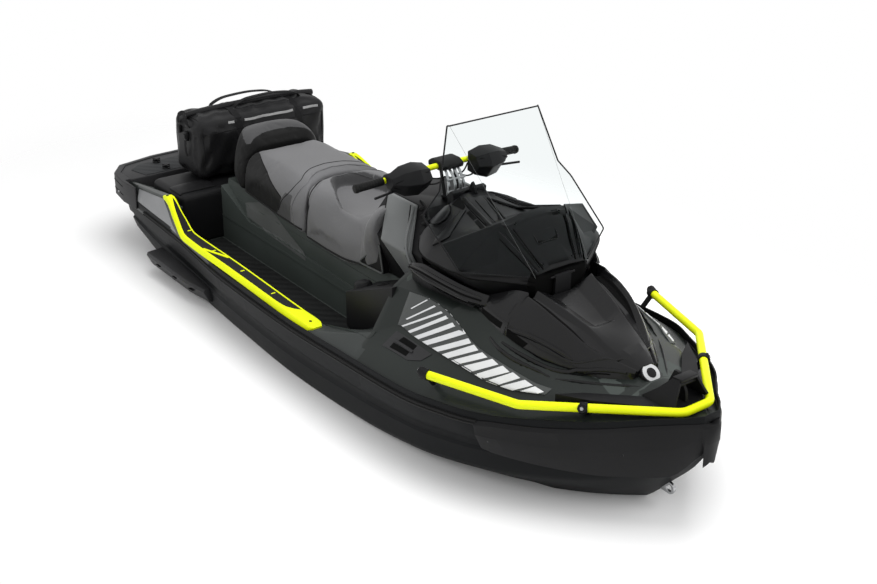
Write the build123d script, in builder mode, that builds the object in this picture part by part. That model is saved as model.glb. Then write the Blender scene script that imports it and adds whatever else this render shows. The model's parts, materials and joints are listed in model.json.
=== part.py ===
"""Three-seat touring personal watercraft with windshield, bow rail and rear cargo deck.

Frame: +X to the bow, +Y to port, +Z up. The origin is on the centreline at the waterline,
just ahead of mid-length. All sizes are in millimetres.
"""

import os
from math import cos, radians, sin

from build123d import *

# Overall sizes
LENGTH = 3706
HALF_BEAM = 627.5
ORIGIN_AHEAD = 18
BOW_X = LENGTH / 2 - ORIGIN_AHEAD
STERN_X = BOW_X - LENGTH

# Hull
TRANSOM_FROM_STERN = 270
KEEL_DEPTH = 230
HULL_TOP_RISE = 40

# Footwells and pedestal
FOOTWELL_FLOOR = 150
FOOTWELL_WALL = 8
PEDESTAL_HALF = 250
PEDESTAL_TOP_HALF = 205
PEDESTAL_TOP = 450
GUNWALE_WIDTH = 100

# Jet drive
JET_Z = -70
TUNNEL_HALF = 105
TUNNEL_ROOF = 35
TUNNEL_LENGTH = 800
DUCT_RADIUS = 79
HOUSING_WALL = 9
SHAFT_RADIUS = 14
PIN_RADIUS = 6
NOZZLE_RADIUS = 54
NOZZLE_WALL = 8
BUCKET_RADIUS = 154
BUCKET_WALL = 6

# Rail, handlebar and seat
RAIL_RADIUS = 16
BAR_RADIUS = 12
GRIP_RADIUS = 17
COLUMN_X_FROM_BOW = 1485
COLUMN_Z = 800
COLUMN_LEAN = 15
LID_HINGE_FROM_BOW = 805
LID_HINGE_Z = 700
SEAT_BASE_HALF = 262

# Engine and drive shaft
ENGINE_LENGTH = 560
ENGINE_WIDTH = 380
ENGINE_HEIGHT = 330
ENGINE_REAR = -640
ENGINE_BOTTOM = -98
BAY_GAP = 20
SHAFT_TUBE_RADIUS = 20

# Clearances
SEAT_FIT = 0.3
MOVING_GAP = 6

os.makedirs("parts", exist_ok=True)


def fore(distance):
    """Return the X of a station at this distance aft of the bow tip."""
    return BOW_X - distance


def aft(distance):
    """Return the X of a station at this distance forward of the stern."""
    return STERN_X + distance


# Each station: x, keel z, chine (share of half beam, z), side (share of half beam, bond z).
HULL_STATIONS = [
    (aft(TRANSOM_FROM_STERN), -KEEL_DEPTH + 10, (0.80, 105), (0.87, 268)),
    (aft(560), -KEEL_DEPTH, (0.82, 45), (0.888, 268)),
    (aft(870), -KEEL_DEPTH, (0.845, 15), (0.912, 268)),
    (-450, -KEEL_DEPTH, (0.892, 5), (0.988, 268)),
    (0, -KEEL_DEPTH, (0.916, 0), (1.0, 268)),
    (fore(1335), -KEEL_DEPTH, (0.90, 20), (0.991, 285)),
    (fore(985), -KEEL_DEPTH + 5, (0.86, 50), (0.975, 300)),
    (fore(735), -KEEL_DEPTH + 25, (0.78, 85), (0.916, 325)),
    (fore(585), -KEEL_DEPTH + 70, (0.70, 110), (0.813, 335)),
    (fore(435), -KEEL_DEPTH + 130, (0.59, 140), (0.67, 360)),
    (fore(285), -KEEL_DEPTH + 230, (0.43, 175), (0.494, 385)),
    (fore(155), -KEEL_DEPTH + 373, (0.22, 230), (0.268, 410)),
    (fore(80), -KEEL_DEPTH + 462, (0.12, 290), (0.156, 425)),
    (fore(30), -KEEL_DEPTH + 545, (0.035, 350), (0.06, 436)),
]

# Each station: x, gunwale crease (share of half beam, z).
DECK_STATIONS = [
    (aft(TRANSOM_FROM_STERN), (0.83, 360)),
    (aft(383), (0.845, 377)),
    (aft(720), (0.869, 425)),
    (aft(980), (0.94, 318)),
    (-622, (0.956, 325)),
    (200, (0.956, 305)),
    (fore(1335), (0.80, 390)),
    (fore(1135), (0.733, 430)),
    (fore(870), (0.685, 440)),
    (fore(525), (0.526, 440)),
    (fore(335), (0.36, 430)),
    (fore(155), (0.13, 425)),
    (fore(80), (0.07, 433)),
    (fore(30), (0.045, 442)),
]


def blend(low, high, share):
    """Return a value, or a tuple of values, part of the way from low to high."""
    if isinstance(low, tuple):
        return tuple(blend(a, b, share) for a, b in zip(low, high))
    return low + share * (high - low)


def between(table, x):
    """Return the values of a station table at x, by straight interpolation."""
    if x <= table[0][0]:
        return table[0][1:]
    for low, high in zip(table, table[1:]):
        if x <= high[0]:
            share = (x - low[0]) / (high[0] - low[0])
            return [blend(a, b, share) for a, b in zip(low[1:], high[1:])]
    return table[-1][1:]


BOND_LINE = [(x, side[0] * HALF_BEAM, side[1]) for x, _, _, side in HULL_STATIONS]
GUNWALE_LINE = [(x, crease[0] * HALF_BEAM, crease[1]) for x, crease in DECK_STATIONS]


def bond_at(x):
    """Return the half breadth and height of the bond line at x."""
    return between(BOND_LINE, x)


def gunwale_at(x):
    """Return the half breadth and height of the gunwale crease at x."""
    return between(GUNWALE_LINE, x)


def save(sub_part, node):
    """Label a finished sub-part and write its STEP file."""
    sub_part.part.label = node
    export_step(sub_part.part, f"parts/{node}.step")


def section(x, half):
    """Return a face at x that is symmetric about the centreline, from its port half."""
    other = [(-y, z) for y, z in reversed(half) if y > 0]
    with BuildSketch(Plane.YZ.offset(x)) as outline:
        with BuildLine():
            Polyline(*half, *other, close=True)
        make_face()
    return outline.sketch


def side_prism(points, y_low, y_high):
    """Return a prism with this outline in side view (x, z), from y_low to y_high."""
    with BuildPart() as prism:
        with BuildSketch(Plane.XZ.offset(-y_high)):
            with BuildLine():
                Polyline(*points, close=True)
            make_face()
        extrude(amount=y_high - y_low)
    return prism.part


def side_box(corner, far_corner, y_low, y_high):
    """Return a block between two side-view corners (x, z), from y_low to y_high."""
    (x_low, z_low), (x_high, z_high) = corner, far_corner
    return side_prism([(x_low, z_low), (x_high, z_low), (x_high, z_high), (x_low, z_high)], y_low, y_high)


def plan_prism(points, z_low, z_high):
    """Return a prism with this outline in plan (x, y), from z_low to z_high."""
    with BuildPart() as prism:
        with BuildSketch(Plane.XY.offset(z_low)):
            with BuildLine():
                Polyline(*points, close=True)
            make_face()
        extrude(amount=z_high - z_low)
    return prism.part


def both_sides(shape):
    """Return a shape and its mirror image across the centreline."""
    with BuildPart() as pair:
        add(shape)
        add(shape.mirror(Plane.XZ))
    return pair.part


def tube(points, radius, bend):
    """Return a round bar along straight runs, with a bend of this radius at each corner."""
    with BuildPart() as bar:
        with BuildLine() as path:
            FilletPolyline(*points, radius=bend)
        with BuildSketch(Plane(origin=path.line @ 0, z_dir=path.line % 0)):
            Circle(radius)
        sweep(path=path.line)
    return bar.part


def cylinder_between(start, end, radius):
    """Return a round bar from start to end."""
    axis = Vector(*end) - Vector(*start)
    with BuildPart() as bar:
        with BuildSketch(Plane(origin=start, z_dir=axis)):
            Circle(radius)
        extrude(amount=axis.length)
    return bar.part


def below_bond():
    """Return a block that fills everything below the bond line."""
    line = [(x, z) for x, _, z in BOND_LINE]
    ends = [(BOW_X + 300, line[-1][1]), (BOW_X + 300, -900), (STERN_X - 300, -900),
            (STERN_X - 300, line[0][1])]
    return side_prism(line + ends, -HALF_BEAM * 1.5, HALF_BEAM * 1.5)


BELOW_BOND = below_bond()
TUB_TOP = 300
REAR_WALL = aft(715)


def footwell_blocks(margin):
    """Return the two footwell volumes, grown by a margin at the floor, sides and ends."""
    rear = REAR_WALL - margin
    front = fore(1313) + margin
    floor = FOOTWELL_FLOOR - margin
    ramp = fore(1685) + margin / 2
    outline = [(rear, 700), (rear, floor), (ramp, floor), (fore(1464) + margin, floor + 90),
               (front, 379), (front, 700)]
    outer = HALF_BEAM - GUNWALE_WIDTH + margin
    return both_sides(side_prism(outline, PEDESTAL_HALF - margin, outer))


def engine_block(margin):
    """Return the engine's outer block, grown by a margin."""
    half_width = ENGINE_WIDTH / 2 + margin
    low = ENGINE_BOTTOM - margin
    high = ENGINE_BOTTOM + ENGINE_HEIGHT + margin
    rear = ENGINE_REAR - margin
    front = ENGINE_REAR + ENGINE_LENGTH + margin
    return side_prism([(rear, low), (front, low), (front, high), (rear, high)], -half_width, half_width)


def make_hull():
    """Make the solid hull below the bond line, with its jet tunnel and engine bay."""
    half_sections = []
    for x, keel, chine, side in HULL_STATIONS:
        top = side[1] + HULL_TOP_RISE
        half = [(0, keel), (chine[0] * HALF_BEAM, chine[1]), (side[0] * HALF_BEAM, side[1]),
                (side[0] * HALF_BEAM, top)]
        half_sections.append(section(x, half))
    transom = aft(TRANSOM_FROM_STERN)
    tunnel_front = transom + TUNNEL_LENGTH
    with BuildPart() as hull:
        loft(half_sections, ruled=True)
        add(BELOW_BOND, mode=Mode.INTERSECT)
        add(footwell_blocks(FOOTWELL_WALL), mode=Mode.SUBTRACT)
        add(side_prism([(transom - 5, TUNNEL_ROOF), (transom + TUNNEL_LENGTH * 0.5, TUNNEL_ROOF),
                        (tunnel_front, -KEEL_DEPTH - 5), (transom - 5, -KEEL_DEPTH - 5)],
                       -TUNNEL_HALF, TUNNEL_HALF), mode=Mode.SUBTRACT)
        add(engine_block(BAY_GAP), mode=Mode.SUBTRACT)
        add(cylinder_between((transom, 0, JET_Z), (ENGINE_REAR + 5, 0, JET_Z), SHAFT_TUBE_RADIUS),
            mode=Mode.SUBTRACT)
    return hull


def seat_section(x, base_half, side_half, top_half, edge_z, side_z, top_z):
    """Return a saddle section that laps over the pedestal's shoulders."""
    notch = PEDESTAL_TOP_HALF + SEAT_FIT + 2
    half = [(notch, PEDESTAL_TOP + SEAT_FIT), (notch + 14, edge_z), (base_half, edge_z),
            (side_half, side_z), (top_half, top_z - 12), (top_half * 0.6, top_z)]
    return section(x, half)


# Each nose station: x, then its outline from the outer edge to the centre.
NOSE_STATIONS = [
    (fore(1313), [(470, 400), (395, 560), (330, 600), (60, 602)]),
    (fore(1122), [(455, 430), (380, 587), (310, 600), (60, 602)]),
    (fore(937), [(432, 438), (360, 505), (300, 586), (60, 592)]),
    (fore(800), [(415, 438), (370, 476), (295, 550), (60, 570)]),
    (fore(615), [(355, 438), (340, 453), (240, 490), (50, 530)]),
    (fore(435), [(290, 440), (260, 450), (150, 470), (40, 500)]),
    (fore(295), [(205, 440), (180, 450), (90, 465), (30, 480)]),
    (fore(195), [(150, 440), (120, 450), (50, 456), (20, 460)]),
]
NOSE_BASE = 385


def make_nose():
    """Return the raised fore deck under the hood and the storage lid."""
    with BuildPart() as nose:
        loft([section(x, [(half[0][0], NOSE_BASE), *half]) for x, half in NOSE_STATIONS], ruled=True)
    return nose.part


NOSE = make_nose()
WELL_HALF = 500
WELL_FLOOR = 358
TRANSOM = aft(TRANSOM_FROM_STERN)
BIN = (fore(1265), fore(905), 170, 395, 590)


def make_deck():
    """Make the deck: gunwales, footwell tubs, pedestal, rear block and nose."""
    stations = sorted({row[0] for row in HULL_STATIONS} | {row[0] for row in DECK_STATIONS})
    slabs = []
    for x in stations:
        (side, bond), (crease, top) = bond_at(x), gunwale_at(x)
        slabs.append(section(x, [(side, bond - 30), (side, bond), (crease, top)]))
    pedestal = [(PEDESTAL_HALF, 240), (PEDESTAL_HALF, 268), (PEDESTAL_TOP_HALF, PEDESTAL_TOP)]
    block_front = REAR_WALL
    block_rear = aft(400)
    bin_rear, bin_front, bin_half, bin_low, bin_high = BIN
    with BuildPart() as deck:
        loft(slabs, ruled=True)
        loft([section(block_front, pedestal), section(fore(1435), pedestal)], ruled=True)
        add(NOSE)
        add(side_box((TRANSOM - 1, WELL_FLOOR), (block_front + 1, 500), -WELL_HALF, WELL_HALF),
            mode=Mode.SUBTRACT)
        add(side_prism([(block_front, 250), (block_front, 395), (block_front - 25, 405),
                        (block_rear + 40, 405), (block_rear, 360), (block_rear, 250)], -460, 460))
        add(BELOW_BOND, mode=Mode.SUBTRACT)
        with BuildPart(mode=Mode.PRIVATE) as tubs:
            add(footwell_blocks(FOOTWELL_WALL))
            split(bisect_by=Plane.XY.offset(TUB_TOP), keep=Keep.BOTTOM)
        add(tubs.part)
        add(footwell_blocks(0), mode=Mode.SUBTRACT)
        add(side_prism([(bin_rear, bin_low), (bin_front, bin_low), (bin_front, 720), (bin_rear, 720)],
                       -bin_half, bin_half), mode=Mode.SUBTRACT)
    return deck


DECK = make_deck()
PLATFORM_TOP = 372
MAT_THICKNESS = 3


def platform_half(inset):
    """Return the port half of the stern platform's plan outline, moved inward by an inset."""
    return [(aft(150), 516 - inset), (aft(70) + inset / 2, 452 - inset), (aft(30) + inset, 260 - inset)]


def full_plan(half, start, end):
    """Return a closed plan outline from its port half, with its ends on lines of constant x."""
    points = [(start[0], start[1]), *half, (end[0], end[1])]
    return points + [(x, -y) for x, y in reversed(points)]


def make_rear_platform():
    """Make the solid boarding platform behind the transom."""
    with BuildPart() as platform:
        add(plan_prism(full_plan(platform_half(0), (TRANSOM, 518), (aft(22), 60)), 280, PLATFORM_TOP))
    return platform


def make_rear_bumper():
    """Make the bumper band around the stern, with its side arms."""
    arm_front = aft(400)
    inner = [(arm_front, bond_at(arm_front)[0] + 0.3), (TRANSOM, bond_at(TRANSOM)[0] + 0.3), (TRANSOM, 518),
             *platform_half(0), (aft(22), 60)]
    outer = [(aft(0), 60), (aft(8), 275), (aft(50), 478), (aft(140), 548), (TRANSOM, 566),
             (arm_front, bond_at(arm_front)[0] + 8)]
    with BuildPart() as bumper:
        band = inner + [(x, -y) for x, y in reversed(inner)]
        ring = [(x, -y) for x, y in reversed(outer)] + outer
        add(plan_prism(band + ring, 262, PLATFORM_TOP + 4))
    return bumper


def make_rear_mat():
    """Make the anti-slip mat on the boarding platform."""
    with BuildPart() as mat:
        outline = full_plan(platform_half(60), (TRANSOM - 12, 430), (aft(80), 60))
        add(plan_prism(outline, PLATFORM_TOP, PLATFORM_TOP + MAT_THICKNESS))
    return mat


def make_footwell_mats():
    """Make the anti-slip mat on each footwell floor."""
    outer = HALF_BEAM - GUNWALE_WIDTH - 10
    outline = [(REAR_WALL + 12, PEDESTAL_HALF + 10), (fore(1685) - 12, PEDESTAL_HALF + 10),
               (fore(1685) - 12, outer), (REAR_WALL + 12, outer)]
    with BuildPart() as mats:
        add(both_sides(plan_prism(outline, FOOTWELL_FLOOR, FOOTWELL_FLOOR + MAT_THICKNESS)))
    return mats


def strip(stations):
    """Return a ruled strip from stations of x and a closed outline (y, z), on both sides."""
    faces = []
    for x, outline in stations:
        with BuildSketch(Plane.YZ.offset(x)) as face:
            with BuildLine():
                Polyline(*outline, close=True)
            make_face()
        faces.append(face.sketch)
    with BuildPart() as band:
        loft(faces, ruled=True)
    return both_sides(band.part)


TRIM_XS = [aft(690), aft(720), aft(980), -622, 200]
TRIM_WIDTH = 66
TRIM_THICKNESS = 6


def make_footwell_trims():
    """Make the trim strip along the top of each gunwale beside the footwell."""
    stations = []
    for x in TRIM_XS:
        y, z = gunwale_at(x)
        top = z + TRIM_THICKNESS
        stations.append((x, [(y - TRIM_WIDTH, z + 0.3), (y + 0.8, z + 0.3), (y + 6.5, z - 10),
                             (y + 14, z - 8), (y + 6, top), (y - TRIM_WIDTH, top)]))
    with BuildPart() as trims:
        add(strip(stations))
        add(DECK.part, mode=Mode.SUBTRACT)
    return trims


def make_trim_inserts():
    """Make the dark infill strip set on each footwell trim."""
    stations = []
    for x in (aft(760), aft(980), -622, 60):
        y, z = gunwale_at(x)
        low, high = z + TRIM_THICKNESS + 0.3, z + TRIM_THICKNESS + 2.3
        stations.append((x, [(y - 56, low), (y - 30, low), (y - 30, high), (y - 56, high)]))
    with BuildPart() as inserts:
        add(strip(stations))
    return inserts


def make_rub_rail():
    """Make the strip that covers the joint between hull and deck."""
    xs = [aft(480), aft(870), -450, 0, fore(1335), fore(985), fore(735), fore(645)]
    stations = []
    for x in xs:
        y, z = bond_at(x)
        stations.append((x, [(y + 0.3, z - 12), (y + 10, z - 9), (y + 10, z + 7), (y + 0.3, z + 10)]))
    with BuildPart() as rail:
        add(strip(stations))
        add(DECK.part, mode=Mode.SUBTRACT)
    return rail


def hull_breadth(x, z):
    """Return the hull's half breadth at x and height z, between chine and bond line."""
    chine, side = between([(row[0], row[2], row[3]) for row in HULL_STATIONS], x)
    share = (z - chine[1]) / (side[1] - chine[1])
    return HALF_BEAM * (chine[0] + share * (side[0] - chine[0]))


FASCIA_STATIONS = [
    (fore(635), 215, 335), (fore(435), 200, 366), (fore(285), 200, 394), (fore(155), 205, 420),
    (fore(80), 228, 437), (fore(30), 258, 444), (fore(0), 300, 436),
]


def make_bow_fascia(hull):
    """Make the bumper that wraps the bow over the hull and deck joint."""
    sections = []
    for x, low, high in FASCIA_STATIONS:
        side, bond = bond_at(x)
        grow = 14
        low_y = max(hull_breadth(x, low), 6) + grow
        sections.append(section(x, [(low_y, low), (side + grow, bond - 30), (side + grow - 8, high)]))
    with BuildPart() as fascia:
        loft(sections, ruled=True)
        add(hull.part, mode=Mode.SUBTRACT)
        add(DECK.part, mode=Mode.SUBTRACT)
    return fascia


# Each hood station: x, then its outline from the lower edge up to the centre.
HOOD_STATIONS = [
    (fore(793), [(300, 520), (290, 600), (195, 690), (60, 700)]),
    (fore(655), [(262, 470), (255, 545), (170, 668), (60, 690)]),
    (fore(535), [(205, 460), (200, 510), (140, 605), (55, 655)]),
    (fore(435), [(150, 450), (140, 492), (92, 552), (45, 592)]),
    (fore(345), [(75, 445), (62, 488), (50, 518), (35, 540)]),
]


def make_hood():
    """Make the hood that covers the fore deck."""
    with BuildPart() as hood:
        loft([section(x, half) for x, half in HOOD_STATIONS], ruled=True)
        add(NOSE, mode=Mode.SUBTRACT)
    return hood


def nose_at(x):
    """Return the fore deck's outline at x, from its outer edge to the centre."""
    for low, high in zip(NOSE_STATIONS, NOSE_STATIONS[1:]):
        if x <= high[0]:
            share = (x - low[0]) / (high[0] - low[0])
            return [blend(a, b, share) for a, b in zip(low[1], high[1])]
    return NOSE_STATIONS[-1][1]


def make_side_fairings():
    """Make the striped panel on each side of the fore deck."""
    stations = []
    for x in (fore(1179), fore(1122), fore(937), fore(800), fore(615), fore(535)):
        (outer_y, outer_z), (inner_y, inner_z) = nose_at(x)[:2]
        stations.append((x, [(outer_y + 0.4, outer_z + 0.4), (outer_y + 5, outer_z + 2),
                             (inner_y + 5, inner_z + 2), (inner_y + 0.4, inner_z + 0.4)]))
    with BuildPart() as fairings:
        add(strip(stations))
        add(DECK.part, mode=Mode.SUBTRACT)
    return fairings


def make_wind_deflectors():
    """Make the blade that turns the wind under each flank of the storage lid."""
    stations = [
        (fore(1300), [(320, 570), (352, 570), (360, 640), (352, 660), (346, 660), (338, 640)]),
        (fore(1185), [(318, 570), (352, 570), (374, 640), (358, 690), (350, 690), (338, 640)]),
        (fore(945), [(290, 550), (320, 550), (338, 610), (322, 652), (314, 652), (302, 620)]),
    ]
    with BuildPart() as deflectors:
        add(strip(stations))
        add(NOSE, mode=Mode.SUBTRACT)
    return deflectors


CONSOLE_REAR = fore(1730)
CONSOLE_FRONT = fore(1313) - 0.3
CONSOLE_TOP = 785


def plan_section(z, rear, front, half):
    """Return a rectangular face in plan at height z."""
    with BuildSketch(Plane.XY.offset(z)) as outline:
        with BuildLine():
            Polyline((rear, -half), (front, -half), (front, half), (rear, half), close=True)
        make_face()
    return outline.sketch


COLUMN = Vector(fore(COLUMN_X_FROM_BOW), 0, COLUMN_Z)
COLUMN_AXIS = Vector(-sin(radians(COLUMN_LEAN)), 0, cos(radians(COLUMN_LEAN)))
COLUMN_SHAFT_RADIUS = 15
COLUMN_FIT = 0.5
COLUMN_DEPTH = 70


def make_console():
    """Make the console that carries the steering column."""
    low = COLUMN - COLUMN_AXIS * (COLUMN_DEPTH + 10)
    high = COLUMN + COLUMN_AXIS * 40
    with BuildPart() as console:
        loft([plan_section(PEDESTAL_TOP + SEAT_FIT, CONSOLE_REAR, CONSOLE_FRONT, PEDESTAL_TOP_HALF - 2),
              plan_section(640, CONSOLE_REAR + 7, fore(1335), 262),
              plan_section(CONSOLE_TOP, CONSOLE_REAR + 25, fore(1450), 150)], ruled=True)
        add(NOSE, mode=Mode.SUBTRACT)
        add(cylinder_between(tuple(low), tuple(high), COLUMN_SHAFT_RADIUS + COLUMN_FIT),
            mode=Mode.SUBTRACT)
    return console


# Each cowl station: height, rear x, front x, inner y, outer y.
COWL_STATIONS = [
    (470, fore(1425), fore(1320), 215, 232), (640, fore(1585), fore(1395), 262, 285),
    (783, fore(1695), fore(1505), 150, 170),
]


def make_side_cowls(console):
    """Make the pale cowl panel on each side of the console."""
    stations = []
    for z, rear, front, inner_y, outer_y in COWL_STATIONS:
        with BuildSketch(Plane.XY.offset(z)) as outline:
            with BuildLine():
                Polyline((rear, inner_y), (front, inner_y), (front, outer_y), (rear, outer_y), close=True)
            make_face()
        stations.append(outline.sketch)
    with BuildPart() as cowls:
        loft(stations, ruled=True)
        mirror(about=Plane.XZ)
        add(console.part, mode=Mode.SUBTRACT)
    return cowls


# Each lid station: x, then its outline from the underside up to the centre.
LID_STATIONS = [
    (fore(1365), [(200, 705), (250, 722), (190, 770), (130, 808), (40, 852)]),
    (fore(1275), [(250, 640), (318, 708), (230, 760), (150, 805), (45, 860)]),
    (fore(1185), [(260, 612), (345, 712), (270, 750), (180, 790), (50, 846)]),
    (fore(1095), [(262, 612), (350, 716), (300, 750), (200, 790), (50, 825)]),
    (fore(1045), [(262, 612), (355, 722), (345, 786), (226, 856), (50, 868)]),
    (fore(995), [(260, 612), (352, 728), (276, 780), (178, 872), (50, 894)]),
    (fore(965), [(255, 612), (338, 720), (232, 780), (148, 870), (50, 880)]),
    (fore(885), [(180, 612), (222, 703), (176, 742), (130, 772), (50, 786)]),
    (fore(817), [(110, 630), (128, 685), (126, 704), (122, 720), (50, 727)]),
]
LID_CREST = 5
LID_PIN = Vector(fore(LID_HINGE_FROM_BOW), 0, LID_HINGE_Z)
LID_PIN_RADIUS = 4
LID_LUG_RADIUS = 9
LID_LUG_INNER = 45
LID_LUG_OUTER = 58
LID_FRONT = LID_STATIONS[-1][0]


def make_storage_lid():
    """Make the storage lid, whose front lugs turn on the hinge pins."""
    pin_x, pin_z = LID_PIN.X, LID_PIN.Z
    with BuildPart() as lid:
        loft([section(x, half) for x, half in LID_STATIONS], ruled=True)
        for side in (1, -1):
            inner, outer = sorted((side * LID_LUG_INNER, side * LID_LUG_OUTER))
            add(side_prism([(LID_FRONT - 8, pin_z - 8), (pin_x, pin_z - LID_LUG_RADIUS),
                            (pin_x, pin_z + LID_LUG_RADIUS), (LID_FRONT - 8, pin_z + 8)], inner, outer))
            add(cylinder_between((pin_x, inner, pin_z), (pin_x, outer, pin_z), LID_LUG_RADIUS))
            add(cylinder_between((pin_x, inner - 1, pin_z), (pin_x, outer + 1, pin_z), LID_PIN_RADIUS + 0.3),
                mode=Mode.SUBTRACT)
    return lid


def make_lid_hinge():
    """Make the hinge bracket on the fore deck, with one pin each side."""
    pin_x, pin_z = LID_PIN.X, LID_PIN.Z
    outline = [(pin_x - 6, 560), (pin_x + 6, 560), (pin_x + 6, pin_z + 6), (pin_x - 6, pin_z + 6)]
    with BuildPart() as bracket:
        add(side_prism(outline, -LID_LUG_INNER + MOVING_GAP, LID_LUG_INNER - MOVING_GAP))
        add(NOSE, mode=Mode.SUBTRACT)
        for side in (1, -1):
            add(cylinder_between((pin_x, side * 30, pin_z), (pin_x, side * (LID_LUG_OUTER + 2), pin_z),
                                 LID_PIN_RADIUS))
    return bracket


BASE_THICKNESS = 4
BASE_SEAT = 0.3


def make_windshield_base():
    """Make the panel that covers the lid's front face behind the windshield."""
    sections = []
    for x, half in LID_STATIONS[LID_CREST:]:
        (ridge_y, ridge_z), (top_y, top_z) = half[3:]
        rise = BASE_THICKNESS + BASE_SEAT
        sections.append(section(x, [(top_y, top_z + BASE_SEAT), (ridge_y - 6, ridge_z + BASE_SEAT + 1),
                                    (ridge_y - 6, ridge_z + rise), (top_y, top_z + rise)]))
    with BuildPart() as base:
        loft(sections, ruled=True)
        add(LID.part, mode=Mode.SUBTRACT)
    return base


GLASS_THICKNESS = 4
# Each glass station: height, front pane edge (x, y), side pane edge (x, y).
GLASS_STATIONS = [
    (716, (fore(811), 131), (fore(831), 151)),
    (742, (fore(828), 137), (fore(970), 366)),
    (897, (fore(964), 164), (fore(1184), 374)),
    (976, (fore(1034), 177), (fore(1184), 297)),
    (1203, (fore(1233), 217), (fore(1239), 224)),
]


def make_windshield(base):
    """Make the clear windshield: a front pane and a swept side pane each side."""
    sections = []
    for z, (front_x, front_y), (side_x, side_y) in GLASS_STATIONS:
        outer = [(side_x, side_y), (front_x, front_y)]
        inner = [(front_x - GLASS_THICKNESS, front_y - 2), (side_x - GLASS_THICKNESS, side_y - 3)]
        with BuildSketch(Plane.XY.offset(z)) as outline:
            with BuildLine():
                Polyline(*outer, *[(x, -y) for x, y in reversed(outer)],
                         *[(x, -y) for x, y in reversed(inner)], *inner, close=True)
            make_face()
        sections.append(outline.sketch)
    with BuildPart() as glass:
        loft(sections, ruled=True)
        add(LID.part, mode=Mode.SUBTRACT)
        add(base.part, mode=Mode.SUBTRACT)
    return glass


POD_HALF = 85


def make_gauge_pod():
    """Make the instrument pod on the rear face of the lid."""
    rear = LID_STATIONS[0][0]
    with BuildPart() as pod:
        add(side_prism([(rear - SEAT_FIT, 775), (rear - SEAT_FIT, 862), (rear - 20, 866), (rear - 45, 842),
                        (rear - 30, 775)], -POD_HALF, POD_HALF))
        fillet(pod.edges().filter_by(Axis.Y).group_by(Axis.Z)[-1], 6)
    return pod


# Handlebar path from the port end to the centre.
BAR_PATH = [(fore(1572), 405, 888), (fore(1543), 120, 912), (fore(1519), 45, 925)]


def make_handlebar():
    """Make the bent handlebar tube."""
    path = BAR_PATH + [(x, -y, z) for x, y, z in reversed(BAR_PATH)]
    with BuildPart() as bar:
        add(tube(path, BAR_RADIUS, 60))
    return bar


def make_grips(bar):
    """Make the two rubber grips."""
    outer, inner = Vector(*BAR_PATH[0]), Vector(*BAR_PATH[1])
    along = (outer - inner).normalized()
    with BuildPart() as grips:
        add(both_sides(cylinder_between(tuple(outer - along * 118), tuple(outer + along * 12), GRIP_RADIUS)))
        add(bar.part, mode=Mode.SUBTRACT)
    return grips


# Each guard station: distance from the centreline, then its outline in side view.
GUARD_STATIONS = [
    (118, [(fore(1532), 868), (fore(1485), 862), (fore(1455), 905), (fore(1480), 940), (fore(1532), 950)]),
    (175, [(fore(1532), 846), (fore(1475), 842), (fore(1435), 900), (fore(1465), 950), (fore(1532), 964)]),
    (235, [(fore(1532), 842), (fore(1485), 846), (fore(1450), 900), (fore(1477), 945), (fore(1532), 958)]),
    (292, [(fore(1528), 880), (fore(1505), 878), (fore(1483), 905), (fore(1495), 925), (fore(1528), 932)]),
]


def make_hand_guards(bar):
    """Make the faceted guard in front of each grip, clamped to the handlebar."""
    guard = []
    for y, outline in GUARD_STATIONS:
        with BuildSketch(Plane.XZ.offset(-y)) as face:
            with BuildLine():
                Polyline(*outline, close=True)
            make_face()
        guard.append(face.sketch)
    with BuildPart() as guards:
        loft(guard, ruled=True)
        add(side_box((fore(1575), 884), (fore(1525), 930), 160, 192))
        mirror(about=Plane.XZ)
        add(bar.part, mode=Mode.SUBTRACT)
    return guards


def make_levers(guards):
    """Make the throttle and brake levers, whose roots sit in the guards."""
    with BuildPart() as levers:
        add(both_sides(cylinder_between((fore(1513), 200, 872), (fore(1497), 372, 862), 5)))
        add(guards.part, mode=Mode.SUBTRACT)
    return levers


def make_steering_riser(bar):
    """Make the steering column, its two straps and the handlebar clamp."""
    foot = COLUMN + COLUMN_AXIS * -4
    head = Vector(fore(1519), 0, 925)
    with BuildPart() as riser:
        add(cylinder_between(tuple(COLUMN - COLUMN_AXIS * COLUMN_DEPTH), tuple(foot), COLUMN_SHAFT_RADIUS))
        with BuildSketch(Plane(origin=foot, z_dir=COLUMN_AXIS)):
            Circle(42)
        extrude(amount=12)
        for y in (-34, 34):
            start = Vector(foot.X, y, foot.Z + 4)
            add(cylinder_between(tuple(start), (head.X, y, head.Z), 7))
        add(cylinder_between((head.X, -44, head.Z), (head.X, 44, head.Z), BAR_RADIUS + 8))
        add(bar.part, mode=Mode.SUBTRACT)
    return riser


def make_bar_pad(riser, bar):
    """Make the padded cover over the handlebar clamp."""
    with BuildPart() as pad:
        add(side_prism([(fore(1575), 912), (fore(1480), 912), (fore(1470), 932), (fore(1500), 948),
                        (fore(1557), 948), (fore(1580), 932)], -54, 54))
        fillet(pad.edges().filter_by(Axis.Y), 8)
        add(riser.part, mode=Mode.SUBTRACT)
        add(bar.part, mode=Mode.SUBTRACT)
    return pad


SEAT_STEP = -398
SEAT_GAP = 4


def make_seat_front():
    """Make the driver's saddle."""
    with BuildPart() as seat:
        loft([seat_section(SEAT_STEP + SEAT_GAP, SEAT_BASE_HALF, 250, 205, 415, 520, 628),
              seat_section(-230, SEAT_BASE_HALF + 6, 255, 200, 400, 490, 582),
              seat_section(-80, SEAT_BASE_HALF, 235, 170, 395, 500, 600),
              seat_section(CONSOLE_REAR - 5, SEAT_BASE_HALF - 27, 190, 110, 430, 560, 668)])
    return seat


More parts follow.
